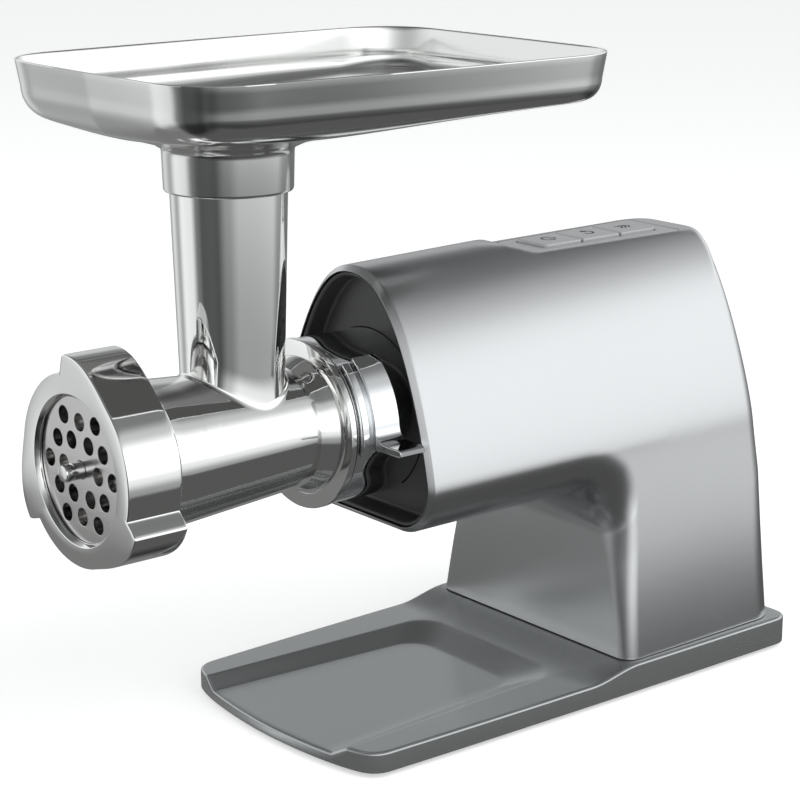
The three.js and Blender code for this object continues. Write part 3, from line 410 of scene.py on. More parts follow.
FINISH = {
    "silver_body": surface(
        "satin_silver", (0.60, 0.605, 0.61), 0.25, 1.0, tone=0.02, spread=0.03, grain=2600, bump=0.03,
    ),
    "base_grey": surface(
        "grey_base", (0.46, 0.475, 0.475), 0.22, 0.85, tone=0.02, spread=0.02, grain=500, bump=0.004,
    ),
    "charcoal": surface(
        "charcoal_plastic", (0.040, 0.040, 0.039), 0.42, 0.0, tone=0.05, grain=2200, bump=0.06,
    ),
    "panel_grey": surface(
        "panel_plastic", (0.52, 0.525, 0.53), 0.42, 0.2, tone=0.02, grain=2400, bump=0.04,
    ),
    "button_grey": surface(
        "button_plastic", (0.50, 0.505, 0.51), 0.40, 0.2, tone=0.02, grain=2400, bump=0.04,
    ),
    "polished_alloy": surface(
        "polished_alloy", (0.88, 0.88, 0.87), 0.055, 1.0, tone=0.015, spread=0.03, grain=700, bump=0.004,
    ),
    "chrome_trim": surface(
        "chrome_trim", (0.86, 0.87, 0.88), 0.045, 1.0, tone=0.015, spread=0.03, grain=900, bump=0.003,
    ),
    "plate_steel": surface(
        "ground_steel", (0.70, 0.69, 0.68), 0.2, 1.0, tone=0.04, spread=0.06, grain=1200, bump=0.03,
        stretch=(1, 1, 6),
    ),
    "screw_alloy": surface("cast_alloy", (0.74, 0.74, 0.74), 0.16, 1.0, tone=0.08, grain=500, bump=0.12),
    "nylon": surface("nylon", (0.78, 0.76, 0.70), 0.5, tone=0.04, grain=1500, bump=0.05),
    "zinc_cast": surface("die_casting", (0.42, 0.43, 0.44), 0.5, 0.9, tone=0.1, grain=600, bump=0.2),
    "gear_steel": striped("machined_steel", (0.55, 0.56, 0.58), (0.40, 0.41, 0.43), 0.28, 1.0, 900),
    "can_steel": surface(
        "plated_can", (0.58, 0.59, 0.61), 0.3, 1.0, tone=0.06, grain=900, stretch=(1, 8, 1), bump=0.06,
    ),
    "black_plastic": surface(
        "black_plastic", (0.018, 0.018, 0.019), 0.48, tone=0.08, grain=1800, bump=0.08,
    ),
    "magnet": surface("sintered_magnet", (0.045, 0.045, 0.048), 0.7, 0.2, tone=0.12, grain=900, bump=0.25),
    "copper": striped("copper_winding", (0.70, 0.33, 0.15), (0.36, 0.14, 0.06), 0.34, 0.9, 700),
    "board_green": surface(
        "solder_mask", (0.015, 0.13, 0.055), 0.32, tone=0.15, cloud=120, grain=700, bump=0.06, coat=0.3,
    ),
    "spring_steel": striped("zinc_plated", (0.60, 0.61, 0.62), (0.44, 0.45, 0.46), 0.3, 1.0, 1200, "Z"),
    "rubber": surface("rubber", (0.020, 0.020, 0.020), 0.8, tone=0.1, grain=1200, bump=0.15),
}
TRAY_FINISH = surface(
    "pressed_tray", (0.84, 0.84, 0.83), 0.15, 1.0, tone=0.015, spread=0.03, cloud=9, grain=900, bump=0.006
)
MARK = surface("printed_mark", (0.03, 0.032, 0.035), 0.5, tone=0.05, grain=1500, bump=0.02)


def dress_cad_nodes():
    """The CAD nodes that stay in view keep their shape and take a procedural finish."""
    slots = {part["node"]: part["material_slot"] for part in frame["record"]["subparts"]}
    for name, thing in frame["nodes"].items():
        thing.data.materials.clear()
        thing.data.materials.append(FINISH[slots[name]])


# -------------------- housing


def barrel_top(y):
    return BARREL_TOP + TOP_SLOPE * (y - RIM_Y)


def half_width(y, z):
    top = barrel_top(y)
    up = np.clip((z - WAIST_Z) / (top - WAIST_Z), 0, 1)
    egg = WAIST_HALF * (1 - up**1.2) ** (1 / 2.3)
    down = np.clip((WAIST_Z - z) / (WAIST_Z - FOOT_Z), 0, 1)
    return np.where(z >= WAIST_Z, egg, WAIST_HALF + (FOOT_HALF - WAIST_HALF) * down**1.1)


def rounding_loss(d, r):
    inside = np.clip(r - d, 0, None)
    return np.where(d < r, r - np.sqrt(np.clip(r * r - inside**2, 0, None)), 0)


def housing_station(s):
    """The ends of one cross-section: s runs from 0 at the rim to 15 at the foot."""
    lean = math.atan(COLUMN_LEAN)
    face_y = lambda z: COLUMN_FRONT_Y + COLUMN_LEAN * (z - FOOT_Z)
    centre_z = BARREL_BOTTOM - UNDER_FILLET
    centre_y = face_y(centre_z) - UNDER_FILLET / math.cos(lean)
    if s <= 5:
        inner = (np.interp(s, range(6), [RIM_Y, 62, 88, 110, 122, centre_y]), BARREL_BOTTOM)
    elif s <= 10:
        a = math.pi / 2 - (s - 5) / 5 * (math.pi / 2 + lean)
        inner = (centre_y + UNDER_FILLET * math.cos(a), centre_z + UNDER_FILLET * math.sin(a))
    else:
        arc_end = centre_z - UNDER_FILLET * math.sin(lean)
        z = np.interp(s, range(10, 16), [arc_end, 56, 46, 36, 25, FOOT_Z])
        inner = (face_y(z), z)
    top_end = REAR_TOP_Y - REAR_TOP_R
    corner_z = barrel_top(top_end) - REAR_TOP_R
    if s <= 7:
        y = np.interp(s, range(8), [RIM_Y, 62, 90, 115, 140, 165, 187, top_end])
        outer = (y, barrel_top(y))
    elif s <= 10:
        a = math.pi / 2 * (1 - (s - 7) / 3)
        outer = (top_end + REAR_TOP_R * math.cos(a), corner_z + REAR_TOP_R * math.sin(a))
    else:
        z = np.interp(s, range(10, 16), [corner_z, 145, 115, 85, 50, FOOT_Z])
        back = np.clip((z - 85) / (corner_z - 85), 0, 1) ** 1.05
        outer = (REAR_Y - (REAR_Y - REAR_TOP_Y) * back, z)
    return np.array(inner), np.array(outer)


def deck_height(y):
    """Where the top is cut: it rolls down to the flat button deck, then stays flat."""
    start, end, fall = 104.0, 128.0, 5.2
    share = np.clip((y - start) / (end - start), 0, 1)
    return np.where(y < start, 400.0, PANEL_Z + fall * (1 - share**2))


def housing_ring(station, wall=0.0, inner_roll=25.0, outer_roll=0.0, steps=120):
    """One closed cross-section, from the middle below, up the right side and down the left.

    A wall moves it in.
    """
    low, high = station
    along = (high - low) / np.linalg.norm(high - low)
    low, high = low + along * wall, high - along * wall
    length = np.linalg.norm(high - low)
    d = length * (1 - np.cos(np.linspace(0, math.pi, steps + 1))) / 2
    y, z = (low[:, None] + along[:, None] * d).reshape(2, -1)
    loss = rounding_loss(d, max(0.0, inner_roll - wall))
    loss = loss + rounding_loss(length - d, max(0.0, outer_roll - wall))
    half = np.clip(half_width(y, z) - loss - wall, 0.25, None)
    cut = deck_height(y) - wall
    z = smooth_min(z, cut, 0.8 + 2.6 * smooth_step(212, 228, y))
    side = np.c_[half, y, z]
    return np.vstack([side, (side * [-1, 1, 1])[::-1]])


def housing_section(s, wall=0.0):
    inner_roll = 7 + 18 / (1 + math.exp((s - 9.9) / 1.4))
    outer_roll = 15 * float(smooth_step(6.5, 11, s))
    return housing_ring(housing_station(s), wall, inner_roll, outer_roll)


def mouth_ring(y, inset):
    """The barrel's outline at its mouth, moved in square to itself all round."""
    ring = housing_ring((np.array([y, BARREL_BOTTOM]), np.array([y, barrel_top(y)])))
    tangent = (np.roll(ring, -1, axis=0) - np.roll(ring, 1, axis=0))[:, [0, 2]]
    tangent /= np.linalg.norm(tangent, axis=1)[:, None]
    ring[:, 0] -= tangent[:, 1] * inset
    ring[:, 2] += tangent[:, 0] * inset
    return ring


PANEL_OUTLINE = np.array(
    [[-12, 129], [12, 129], [14.5, 132], [17.4, 217.5], [-17.4, 217.5], [-14.5, 132]], float,
)


def panel_outline(gap):
    middle_y = 173.0
    moved = PANEL_OUTLINE - gap * np.sign(PANEL_OUTLINE - [0, middle_y])
    return eased(moved, 2.2, 6, closed=True)


def housing():
    shape = Shape()
    inside = [housing_section(s, WALL) for s in (14.9, 13, 11, 10, 9, 8, 7, 6, 4, 2, 0.5)]
    rim_steps = [(0.5, WALL), (0.1, WALL), (0.0, 2.35), (0.08, 2.2), (2.1, 0.25), (2.4, 0.06), (2.8, 0.0)]
    rim = [mouth_ring(RIM_Y + back, inset) for back, inset in rim_steps]
    outside = [housing_section(s) for s in np.r_[np.linspace(0.16, 3, 12), np.linspace(3.1, 15, 96)]]
    shape.loft([*inside, *rim, *outside, housing_section(15, WALL)], ring=True)
    shell = shape.made("housing")

    cutter = Shape()
    outline = panel_outline(0)
    loops = [np.c_[outline, np.full(len(outline), z)] for z in (PANEL_Z - 9, PANEL_Z + 12)]
    cutter.loft(loops, caps=True)
    cutter.loft(turn_y([[6.3, REAR_Y - 30], [6.3, REAR_Y + 20]], 48, z=GLAND_Z), caps=True)
    knife = cutter.made("cutter")
    finish_mesh(knife.data)
    finish_mesh(shell.data)
    cut = shell.modifiers.new("openings", "BOOLEAN")
    cut.operation = "DIFFERENCE"
    cut.solver = "EXACT"
    cut.object = knife
    bake(shell)
    bpy.data.objects.remove(knife)
    fit(shell, "housing", "silver_body", "housing_shell", sharp=38)


def bezel():
    """The dark cup in the barrel's mouth: a rounded lip, a side wall and a flat face round the hub."""
    clear = WALL + GAP
    front = RIM_Y + 0.9
    face = box_of("front_bezel")[1][1] - 1.8
    lip = [(1.0, 0.0), (0.25, 0.25), (0.0, 0.9), (0.3, 1.6), (1.4, 2.1)]
    into_face = [(2.0, 2.4), (0.7, 2.7), (0.1, 3.3), (0.0, 4.2)]
    rings = [mouth_ring(face + 1.6, clear)]
    rings += [mouth_ring(front + back, clear + inset) for back, inset in lip]
    rings += [mouth_ring(face - ahead, clear + inset) for ahead, inset in into_face]
    outer = rings[-1]
    angle = np.arctan2(outer[:, 2] - AXIS_Z, outer[:, 0])
    rings += [about_axis(HUB_R + GAP, y, angle) for y in (face, face + 1.6)]
    fit(lofted("bezel", rings, ring=True), "housing", "charcoal", "front_bezel", sharp=50)


# -------------------- hub and lock lever


def hub():
    low, high = box_of("hub_socket")
    bore = 32.6
    profile = [
        [bore, low[1]], [HUB_R, low[1]], [HUB_R, high[1] - 3.6], [high[0], high[1] - 3.6], [high[0], high[1]],
        [11, high[1]], [11, high[1] - 5.6], [bore, high[1] - 5.6],
    ]
    loops = turn_y(eased(profile, closed=True), 192)
    fit(lofted("hub", loops, ring=True), "housing", "chrome_trim", "hub_socket")


def lever():
    """A lipped band round the hub that turns out into a thumb tab, as one pressing."""
    inner_r, lip_r, outer_r = HUB_R + GAP, 38.6, 40.2
    tab_x, tab_low, tab_high = 56.0, -4.3, -1.1
    top = 52.0
    lip_start, lip_end = HUB_FRONT_Y + 0.4, HUB_FRONT_Y + 4.0
    band_start, band_end = HUB_FRONT_Y + 5.4, HUB_FRONT_Y + 18.5
    turn_in = bezier(
        [outer_r * math.cos(0.1), outer_r * math.sin(0.1)], [outer_r + 0.2, tab_high + 0.2], [47, tab_high],
        steps=10,
    )
    tip = [[tab_x - 1.0, tab_high], [tab_x, tab_high - 0.7], [tab_x, tab_low + 0.7], [tab_x - 1.0, tab_low]]
    under = bezier([44, tab_low], [39.0, tab_low - 0.2], arc(inner_r, -9, -8, 2)[0], steps=8)
    band = np.vstack([arc(outer_r, top, 7, 40), turn_in, tip, under, arc(inner_r, -8, top, 44)])
    lip = np.vstack([arc(lip_r, top - 1.5, -11, 44), arc(inner_r, -11, top - 1.5, 44)])
    neck = np.vstack([arc(lip_r - 1.4, top - 1.0, -10, 44), arc(inner_r + 0.05, -10, top - 1.0, 44)])
    parts = []
    for name, outline, start, end, soft in (
        ("lever", band, band_start, band_end, 0.5),
        ("lip", lip, lip_start, lip_end, 0.5),
        ("neck", neck, lip_end - 0.8, band_start + 0.8, 0.05),
    ):
        middle = standing((start + end) / 2)
        parts.append(flat_piece(name, [outline], end - start, soft, middle, UP_TO_AXIS))
    whole = bmesh.new()
    for part in parts:
        whole.from_mesh(part.data)
    whole.to_mesh(parts[0].data)
    whole.free()
    for part in parts[1:]:
        bpy.data.objects.remove(part)
    fit(parts[0], "lock_lever", "chrome_trim", "lock_lever", sharp=40)


# -------------------- head


def barrel_radius(y):
    """The outside of the barrel: a long taper, then a short flare up to the flange."""
    return np.interp(y, [-72, 1.0, 6.0], [31.0, 25.8, 28.4])


def bore_radius(y):
    return np.interp(y, [-92, 2], [26.0, 21.5])


def tube_radius(z):
    return np.interp(z, [AXIS_Z, TUBE_TOP_Z], [20.6, 24.0])


def tube_bore(z):
    return tube_radius(z) - 2.4


COLUMNS = 96
RECT_COLUMNS = (2, 46)
RECT_ROWS = np.r_[np.linspace(-56, -6.5, 25), -5.4, -4, -2, 0, 1, 4]


def tee_side(shape, radius, tube, before, after, fillet):
    """One skin of a barrel with a tube standing on it.

    A grid wraps the barrel, with a window left open round the tube. Loops of the window's own points run in
    to the tube's foot, round a fillet, and up the tube. before and after are [radius, y] rings that carry
    the barrel on past the window. Returns the end rows and the top loop.
    """
    angles = whole_turn(COLUMNS)
    rows = [*before, *((float(radius(y)), y) for y in RECT_ROWS), *after]
    grid = [shape.add(about_axis(r, y, angles)) for r, y in rows]
    first, last = len(before), len(before) + len(RECT_ROWS) - 1
    left, right = RECT_COLUMNS
    for i in range(len(grid) - 1):
        for j in range(COLUMNS):
            if first <= i < last and left <= j < right:
                continue
            k = (j + 1) % COLUMNS
            shape.faces.append((grid[i][j], grid[i][k], grid[i + 1][k], grid[i + 1][j]))
    border = [(first, j) for j in range(left, right + 1)]
    border += [(i, right) for i in range(first + 1, last + 1)]
    border += [(last, j) for j in range(right - 1, left - 1, -1)]
    border += [(i, left) for i in range(last - 1, first, -1)]
    edge = [grid[i][j] for i, j in border]

    mean_r = float(radius(TUBE_Y))
    flat = np.array([[(math.pi / 2 - angles[j]) * mean_r, rows[i][1] - TUBE_Y] for i, j in border])
    around = np.arctan2(flat[:, 1] / 30, flat[:, 0] / 38)
    out = np.c_[np.cos(around), np.sin(around)]

    def on_barrel(spots):
        """Spots in the unrolled window, as points on the barrel."""
        y = TUBE_Y + spots[:, 1]
        return about_axis(radius(y), y, math.pi / 2 - spots[:, 0] / mean_r)

    foot_r = float(tube(AXIS_Z + mean_r))
    x, y = foot_r * out[:, 0], TUBE_Y + foot_r * out[:, 1]
    meet = np.c_[x, y, AXIS_Z + np.sqrt(radius(y) ** 2 - x**2)]
    reach = foot_r + 0.8 * fillet
    near = np.c_[mean_r * np.arcsin(np.clip(reach * out[:, 0] / mean_r, -0.99, 0.99)), reach * out[:, 1]]
    above = meet + [0, 0, 0.9 * fillet]
    loops = [on_barrel(mix(flat, near, u)) for u in 1 - (1 - np.linspace(0, 1, 12)[1:]) ** 1.5]
    start = loops[-1]
    loops += [bend(u, start, meet, above) for u in np.linspace(0, 1, 13)[1:]]
    loops = [on_tee(loop, radius, tube, fillet) for loop in loops]
    top_z = TUBE_TOP_Z - 0.6
    top = np.c_[tube(top_z) * out + [0, TUBE_Y], np.full(len(out), top_z)]
    rising = [mix(loops[-1], top, u) for u in np.linspace(0, 1, 10)[1:-1]]
    for loop in [*loops, *(snap_to_tube(loop, tube) for loop in rising), top]:
        spots = shape.add(loop)
        shape.bridge(edge, spots)
        edge = spots
    return grid[0], grid[-1], edge


def snap_to_tube(points, tube):
    side = points[:, :2] - [0, TUBE_Y]
    side = side / np.linalg.norm(side, axis=1)[:, None] * tube(points[:, 2])[:, None]
    return np.c_[side + [0, TUBE_Y], points[:, 2]]


def on_tee(points, radius, tube, fillet):
    """Moves points on to the union of barrel and tube, whose meeting is filled with a round fillet."""

    def gap(p):
        barrel = np.hypot(p[:, 0], p[:, 2] - AXIS_Z) - radius(p[:, 1])
        pipe = np.hypot(p[:, 0], p[:, 1] - TUBE_Y) - tube(p[:, 2])
        corner = np.hypot(np.clip(fillet - barrel, 0, None), np.clip(fillet - pipe, 0, None))
        return np.maximum(fillet, np.minimum(barrel, pipe)) - corner

    points = points.copy()
    tiny = 1e-3
    for _ in range(12):
        here = gap(points)
        slope = np.stack([(gap(points + tiny * axis) - here) / tiny for axis in np.eye(3)], axis=1)
        points -= (here / np.clip((slope**2).sum(1), 1e-6, None))[:, None] * slope
    return points


def head():
    front = box_of("head_barrel")[0][1]
    seat = PLATE_HIGH[1] + 0.1
    thread_r = 34.5
    before = [[33.9, front], [thread_r, front + 0.6]]
    for i in range(9):  # the thread that the ring nut runs on
        y = front + 1.5 + i * THREAD_PITCH
        before += [[thread_r, y], [thread_r - 0.8, y + 0.9], [thread_r - 0.8, y + 1.2], [thread_r, y + 2.1]]
    before += [[thread_r, -73.2], [thread_r - 0.4, -72.6], [31.4, -71.2], [31.0, -70.6]]
    before += [[float(barrel_radius(y)), y] for y in np.linspace(-68, -58, 6)]
    after = [
        [28.7, 6.8], [29.0, 7.6], [29.2, 8.3], [29.25, 8.8], [29.7, 8.8], [29.75, 8.5], [30.2, 8.5],
        [35.2, 8.5], [35.75, 8.58], [36.02, 8.8], [36.1, 9.1], [36.1, 11.3], [35.9, 11.7], [35.4, 11.9],
        [32.4, 11.9], [32.0, 12.2], [32.0, 39.4], [31.5, 40.0], [22, 40.0],
    ]
    bore_before = [[31.4, front], [31.4, seat], [26.0, seat], [26.0, seat + 1.0]]
    bore_before += [[float(bore_radius(y)), y] for y in np.linspace(-88, -60, 8)]
    bore_after = [[12.3, 4.4], [12.3, 39.6], [12.6, 40.0]]
    shape = Shape()
    front_row, rear_row, edge = tee_side(shape, barrel_radius, tube_radius, before, after, 1.6)
    bore_front, bore_rear, bore_top = tee_side(shape, bore_radius, tube_bore, bore_before, bore_after, 1.0)
    outer, inner = (np.array([shape.points[i] for i in loop]) for loop in (edge, bore_top))
    for share, rise in ((0.04, 0.3), (0.16, 0.55), (0.84, 0.55), (0.96, 0.3)):
        loop = shape.add(mix(outer, inner, share) + [0, 0, rise])
        shape.bridge(edge, loop)
        edge = loop
    shape.bridge(edge, bore_top)
    shape.bridge(front_row, bore_front)
    shape.bridge(rear_row, bore_rear)
    fit(shape.made("head"), "head", "polished_alloy", "head_barrel", sharp=24, flats=False)


def ring_radius(degrees):
    """Saw-tooth grips: each rises in a short step and falls away in a long curve."""
    base, tip = 39.0, 46.0
    past = (103 - degrees) % 120
    rise, fall = 6.0, 50.0
    if past < rise:
        return base + (tip - base) * float(smooth_step(0, rise, past)) ** 0.85
    share = (past - rise) / fall
    return base + ((tip - base) * (1 + math.cos(math.pi * share)) / 2 if share < 1 else 0)


def ring_nut():
    degrees = np.arange(0, 360, 0.5)
    grips = np.array([ring_radius(d) for d in degrees])
    a = np.radians(degrees)
    front, rear = RING_FRONT_Y, RING_REAR_Y
    lip, mouth, bore = PLATE_LOW[1] - GAP, 29.2, 35.0
    front_edge = [(3, 0), (0.8, 0), (0.3, 0.1), (0.05, 0.4), (0, 0.8)]
    rear_edge = [(0, 0.9), (0.1, 0.3), (0.4, 0.05), (1, 0)]
    rings = [(mouth, lip)]
    rings += [(mouth + out, front + back) for out, back in ((0, 1.9), (0.15, 1.5), (1.15, 0.25), (1.5, 0))]
    rings += [(grips - inset, front + back) for inset, back in front_edge]
    rings += [(grips, y) for y in np.linspace(front + 3, rear - 3, 6)]
    rings += [(grips - inset, rear - ahead) for inset, ahead in rear_edge]
    rings += [(bore + 0.6, rear), (bore, rear - 0.6)]
    for i in range(7):  # the thread inside
        y = rear - 2.2 - i * THREAD_PITCH
        rings += [(bore, y), (bore + 0.8, y - 0.9), (bore + 0.8, y - 1.2), (bore, y - 2.1)]
    rings += [(bore, lip)]
    made = lofted("ring", [about_axis(r, y, a) for r, y in rings], ring=True)
    fit(made, "ring_nut", "polished_alloy", "ring_nut", sharp=40)


def plate():
    rim = circle(box_of("mincing_plate")[1][0], sides=160)
    holes = [circle(3.8)]
    for radius, turn in ((12.5, 0), (19.2, math.pi / 6), (23.1, 0)):
        for i in range(6):
            a = turn + i * math.pi / 3
            holes.append(circle(3.6, radius * math.cos(a), radius * math.sin(a)))
    depth = PLATE_HIGH[1] - PLATE_LOW[1]
    middle = standing((PLATE_LOW[1] + PLATE_HIGH[1]) / 2)
    made = flat_piece("plate", [rim, *holes], depth, 0.18, middle, UP_TO_AXIS)
    fit(made, "head", "plate_steel", "mincing_plate", sharp=30)


def worm():
    """The screw's thread swells once a turn; the pin in front carries the knife and shows in the plate."""
    low, high = box_of("worm_screw")
    front, rear, pitch, core = -83.5, 1.2, 26.0, 10.0
    a = whole_turn(64)
    shape = Shape()
    loops = []
    for y in np.linspace(front, rear, 110):
        edge = np.interp(y, [front, rear], [25.0, 20.5])
        phase = np.cos(a + 2 * math.pi * y / pitch)
        swell = np.clip((phase + 0.1) / 1.1, 0, None) ** 1.6
        r = core + (edge - core) * smooth_min(swell * 1.12, np.full(len(a), 1.0), 0.2)
        loops.append(about_axis(r, y, a))
    shape.loft(loops, caps=True)
    tip = low[1]
    pin = [
        [0.6, tip], [2.4, tip], [3.2, tip + 0.25], [3.5, tip + 0.9], [3.5, tip + 3.1], [3.05, tip + 3.35],
        [3.05, tip + 4.0], [3.5, tip + 4.25], [3.5, front + 1],
    ]
    shape.loft(turn_y(pin, 64), caps=True)

    def square_bar(half, rounding, start, end):
        square = eased([[-half, -half], [half, -half], [half, half], [-half, half]], rounding, closed=True)
        ends = [np.c_[square[:, 0], np.full(len(square), y), AXIS_Z + square[:, 1]] for y in (start, end)]
        shape.loft(ends, caps=True)

    square_bar(4.5, 0.6, -91.5, front + 2)
    shape.loft(turn_y([[9.0, rear - 1], [9.0, 29.5], [8.5, 30]], 64), caps=True)
    square_bar(5, 0.7, 28, high[1])
    fit(shape.made("worm"), "worm", "screw_alloy", "worm_screw")


# -------------------- tray


def tray_rim(count):
    half = np.vstack([
        [[0, -89.3], [44, -88.6]],
        bezier([44, -88.6], [62, -88], [71.4, -78], [72.6, -60], steps=30),
        bezier([72.6, -60], [76.4, 0], [76.5, 50], steps=30),
        bezier([76.3, 95], [75.6, 122], [50, 123.5], steps=30),
        [[0, 124]],
    ])
    right = resampled(half, count)
    return np.vstack([right, (right[1:-1] * [-1, 1])[::-1]])


def tray():
    rim = tray_rim(170)
    out = rim - [0, TUBE_Y]
    radius = np.linalg.norm(out, axis=1)
    out = out / radius[:, None]
    drop, lean, rise, reach = 11.0, 2.0, 14.5, 38.0
    full = radius - (COLLAR_R - 1)
    dish = lambda d: TRAY_COLLAR_Z + rise * (1 - np.exp((d - full) / reach))
    fillet = TRAY_RIM_Z - drop - dish(lean)

    def ring(r, z):
        """A loop at one distance from the tube's middle, or at one for each point."""
        return np.c_[out[:, 0] * r, TUBE_Y + out[:, 1] * r, np.broadcast_to(z, radius.shape)]

    def loop(d, z):
        """A loop that follows the rim, moved in."""
        return ring(radius - d, z)

    def skin(lower, inward, ends):
        wall = [loop(lean * u + inward, TRAY_RIM_Z - drop * u) for u in np.linspace(0.06, 1, 5)]
        turn = []
        for a in np.radians(np.linspace(0, 90, 12)[1:]):
            d = lean + fillet * (1 - np.cos(a))
            blend = math.sin(a)
            z = dish(d) + fillet * (1 - np.sin(a))
            turn.append(loop(d + inward * (1 - blend), z - lower * blend))
        start = lean + fillet
        across = [start + (full - start) * u for u in np.linspace(0, 1, 16)[1:ends]]
        return wall + turn + [loop(d, dish(d) - lower) for d in across]

    low_end = TRAY_LOW[2]
    tube_r = float(tube_radius(TUBE_TOP_Z))
    lip_z = TUBE_TOP_Z + GAP
    under = [
        (28.6, 254.9), (27.4, 254.5), (26.8, 253.9), (26.5, 253.0), (26.4, 251.8), (26.0, low_end + 1.2),
        (25.9, low_end + 0.5), (25.6, low_end + 0.1), (25.2, low_end),
    ]
    inside = [
        (tube_r + 0.7, low_end), (tube_r + 0.35, low_end + 0.4), (tube_r + GAP, low_end + 1),
        (tube_r + GAP, lip_z), (21.6, lip_z), (21.6, 253.0), (21.9, 254.4), (22.8, 255.3), (24.2, 255.5),
    ]
    collar = [ring(r, z) for r, z in under + inside]
    rolled = [(1.1, 0.3), (0.85, 0.08), (SHEET / 2, 0.0), (0.35, 0.08), (0.1, 0.3)]
    edge = [loop(d, TRAY_RIM_Z - z) for d, z in rolled]
    loops = [*skin(SHEET, 0.0, 14), *collar, *skin(0.0, SHEET, 15)[::-1], *edge]
    made = lofted("tray_pan", loops, ring=True)
    fit(made, "tray", "polished_alloy", "tray", finish=TRAY_FINISH, sharp=50, flats=False)


# -------------------- base


def base_outline(steps=40):
    """The base's right half in plan, from the middle of its front edge to the middle of its back."""
    front, rear = BASE_LOW[1], BASE_HIGH[1]
    near, far = 64.7, BASE_HIGH[0]
    bow, r = 8.5, 9.0
    return np.vstack([
        bezier([0, front], [near * 0.6, front + bow * 0.15], [near - r, front + bow * 0.85], steps=steps),
        bezier(
            [near - r, front + bow * 0.85], [near - 1, front + bow * 1.1], [near, front + bow + r],
            steps=steps,
        )[1:],
        bezier([near, front + bow + r], [near + 3.4, 90], [far, rear - r], steps=steps)[1:],
        bezier([far, rear - r], [far, rear], [far - r, rear], steps=16)[1:],
        [[0, rear]],
    ])


def base_top(y):
    """The base's top: low in front, then a smooth step up to the column's foot."""
    start, end = 118.0, 146.0
    return BASE_FRONT_Z + (BASE_HIGH[2] - BASE_FRONT_Z) * smooth_step(start, end, y)


def directions(line):
    """The unit direction at each point of an open line."""
    tangent = np.gradient(line, axis=0)
    return tangent / np.linalg.norm(tangent, axis=1)[:, None]


def base():
    """The top is a fan of U-shaped lines, from the sides and the back in to the drip recess and its floor."""
    soft = 1.4
    count = 150
    half = base_outline()
    whole = half + soft * directions(half)[:, ::-1] * [-1, 1]
    whole[[0, -1], 0] = 0
    front_y = lambda x: np.interp(x, whole[:40, 0], whole[:40, 1])
    corner = 14.0
    slope, floor_z = 8.0, 5.0
    recess_x, foot_y = 50.5, 101.0

    def u_line(x_front, rear_half, rear_y):
        """Half of a U: from the front edge, back along the side, round a corner and in to the middle."""
        bend_middle = [rear_half - corner, rear_y - corner]
        line = [[[x_front, float(front_y(x_front))]], bend_middle + arc(corner, 0, 90, 14), [[0, rear_y]]]
        return resampled(np.vstack(line), count)

    lines = [resampled(whole[39:], count)]
    recess_top = u_line(recess_x, 46.0, 118.0)
    recess_foot = u_line(recess_x - slope, 46.0 - slope - 3, foot_y)
    for share in np.r_[0.015, np.linspace(0, 1, 16)[1:-1]]:
        lines.append(mix(lines[0], recess_top, share))
    heights = [base_top(line[:, 1]) for line in lines]

    def add_line(line, z):
        lines.append(line)
        heights.append(np.full(len(line), float(z)))

    straight = [(share, mix(BASE_FRONT_Z, floor_z, share)) for share in (0.28, 0.5, 0.72)]
    for share, z in (
        (-0.06, BASE_FRONT_Z), (0.0, BASE_FRONT_Z - 0.06), (0.06, BASE_FRONT_Z - 0.24), *straight,
        (0.94, floor_z + 0.24), (1.0, floor_z + 0.06), (1.06, floor_z),
    ):
        add_line(mix(recess_top, recess_foot, share), z)
    middle = np.c_[np.zeros(count), np.linspace(float(front_y(0)), foot_y, count)]
    for share in np.linspace(0, 1, 8)[1:-1]:
        add_line(mix(recess_foot, middle * [1, 0.92], share), floor_z)
    for line in lines:
        line[0][1] = front_y(line[0][0])

    shape = Shape()
    rows = []
    for line, z in zip(lines, heights):
        right = np.c_[line, z]
        left = (right[:-1] * [-1, 1, 1])[::-1]
        rows.append(shape.add(np.vstack([right, left])))
    for one, other in zip(rows, rows[1:]):
        shape.bridge(one, other, closed=False)
    last = rows[-1]
    n = len(last)
    for i in range(n // 2 - 1):
        shape.faces.append((last[i], last[i + 1], last[n - 2 - i], last[n - 1 - i]))

    edge = rows[0] + [row[-1] for row in rows[1:]] + [row[0] for row in reversed(rows[1:])]
    spots = np.array([shape.points[i] for i in edge])
    tangent = np.roll(spots[:, :2], -1, axis=0) - np.roll(spots[:, :2], 1, axis=0)
    tangent /= np.linalg.norm(tangent, axis=1)[:, None]
    away = np.c_[tangent[:, 1], -tangent[:, 0], np.zeros(len(spots))]
    loops = []
    for a in np.radians([18, 36, 54, 72, 90]):
        loops.append(spots + away * soft * math.sin(a) - [0, 0, soft * (1 - math.cos(a))])
    outer = loops[-1] * [1, 1, 0]
    for inset, z in ((0.0, 0.7), (0.2, 0.2), (0.7, 0.0), (2.4, 0.0), (2.5, 2.4)):
        loops.append(outer - away * inset + [0, 0, z])
    for loop in loops:
        added = shape.add(loop)
        shape.bridge(edge, added)
        edge = added
    shape.faces.append(tuple(edge))
    fit(shape.made("base"), "housing", "base_grey", "base_plate", sharp=50, flats=False)


def feet():
    for name in ("foot_front_left", "foot_front_right", "foot_rear_left", "foot_rear_right"):
        low, high = box_of(name)
        x, y = (low[:2] + high[:2]) / 2
        bottom = low[2]
        profile = [
            [0.5, bottom + 0.25], [5.2, bottom + 0.25], [5.6, bottom], [7.2, bottom], [7.8, bottom + 0.4],
            [8, bottom + 1.0], [7.9, 0.0], [7.6, 0.1], [3, 0.1], [3, high[2] - 0.3], [2.6, high[2]],
            [0.5, high[2]],
        ]
        made = lofted(name.replace("foot", "rubber_foot"), turn_z(profile, x, y, 48), caps=True)
        fit(made, "housing", "rubber", name)


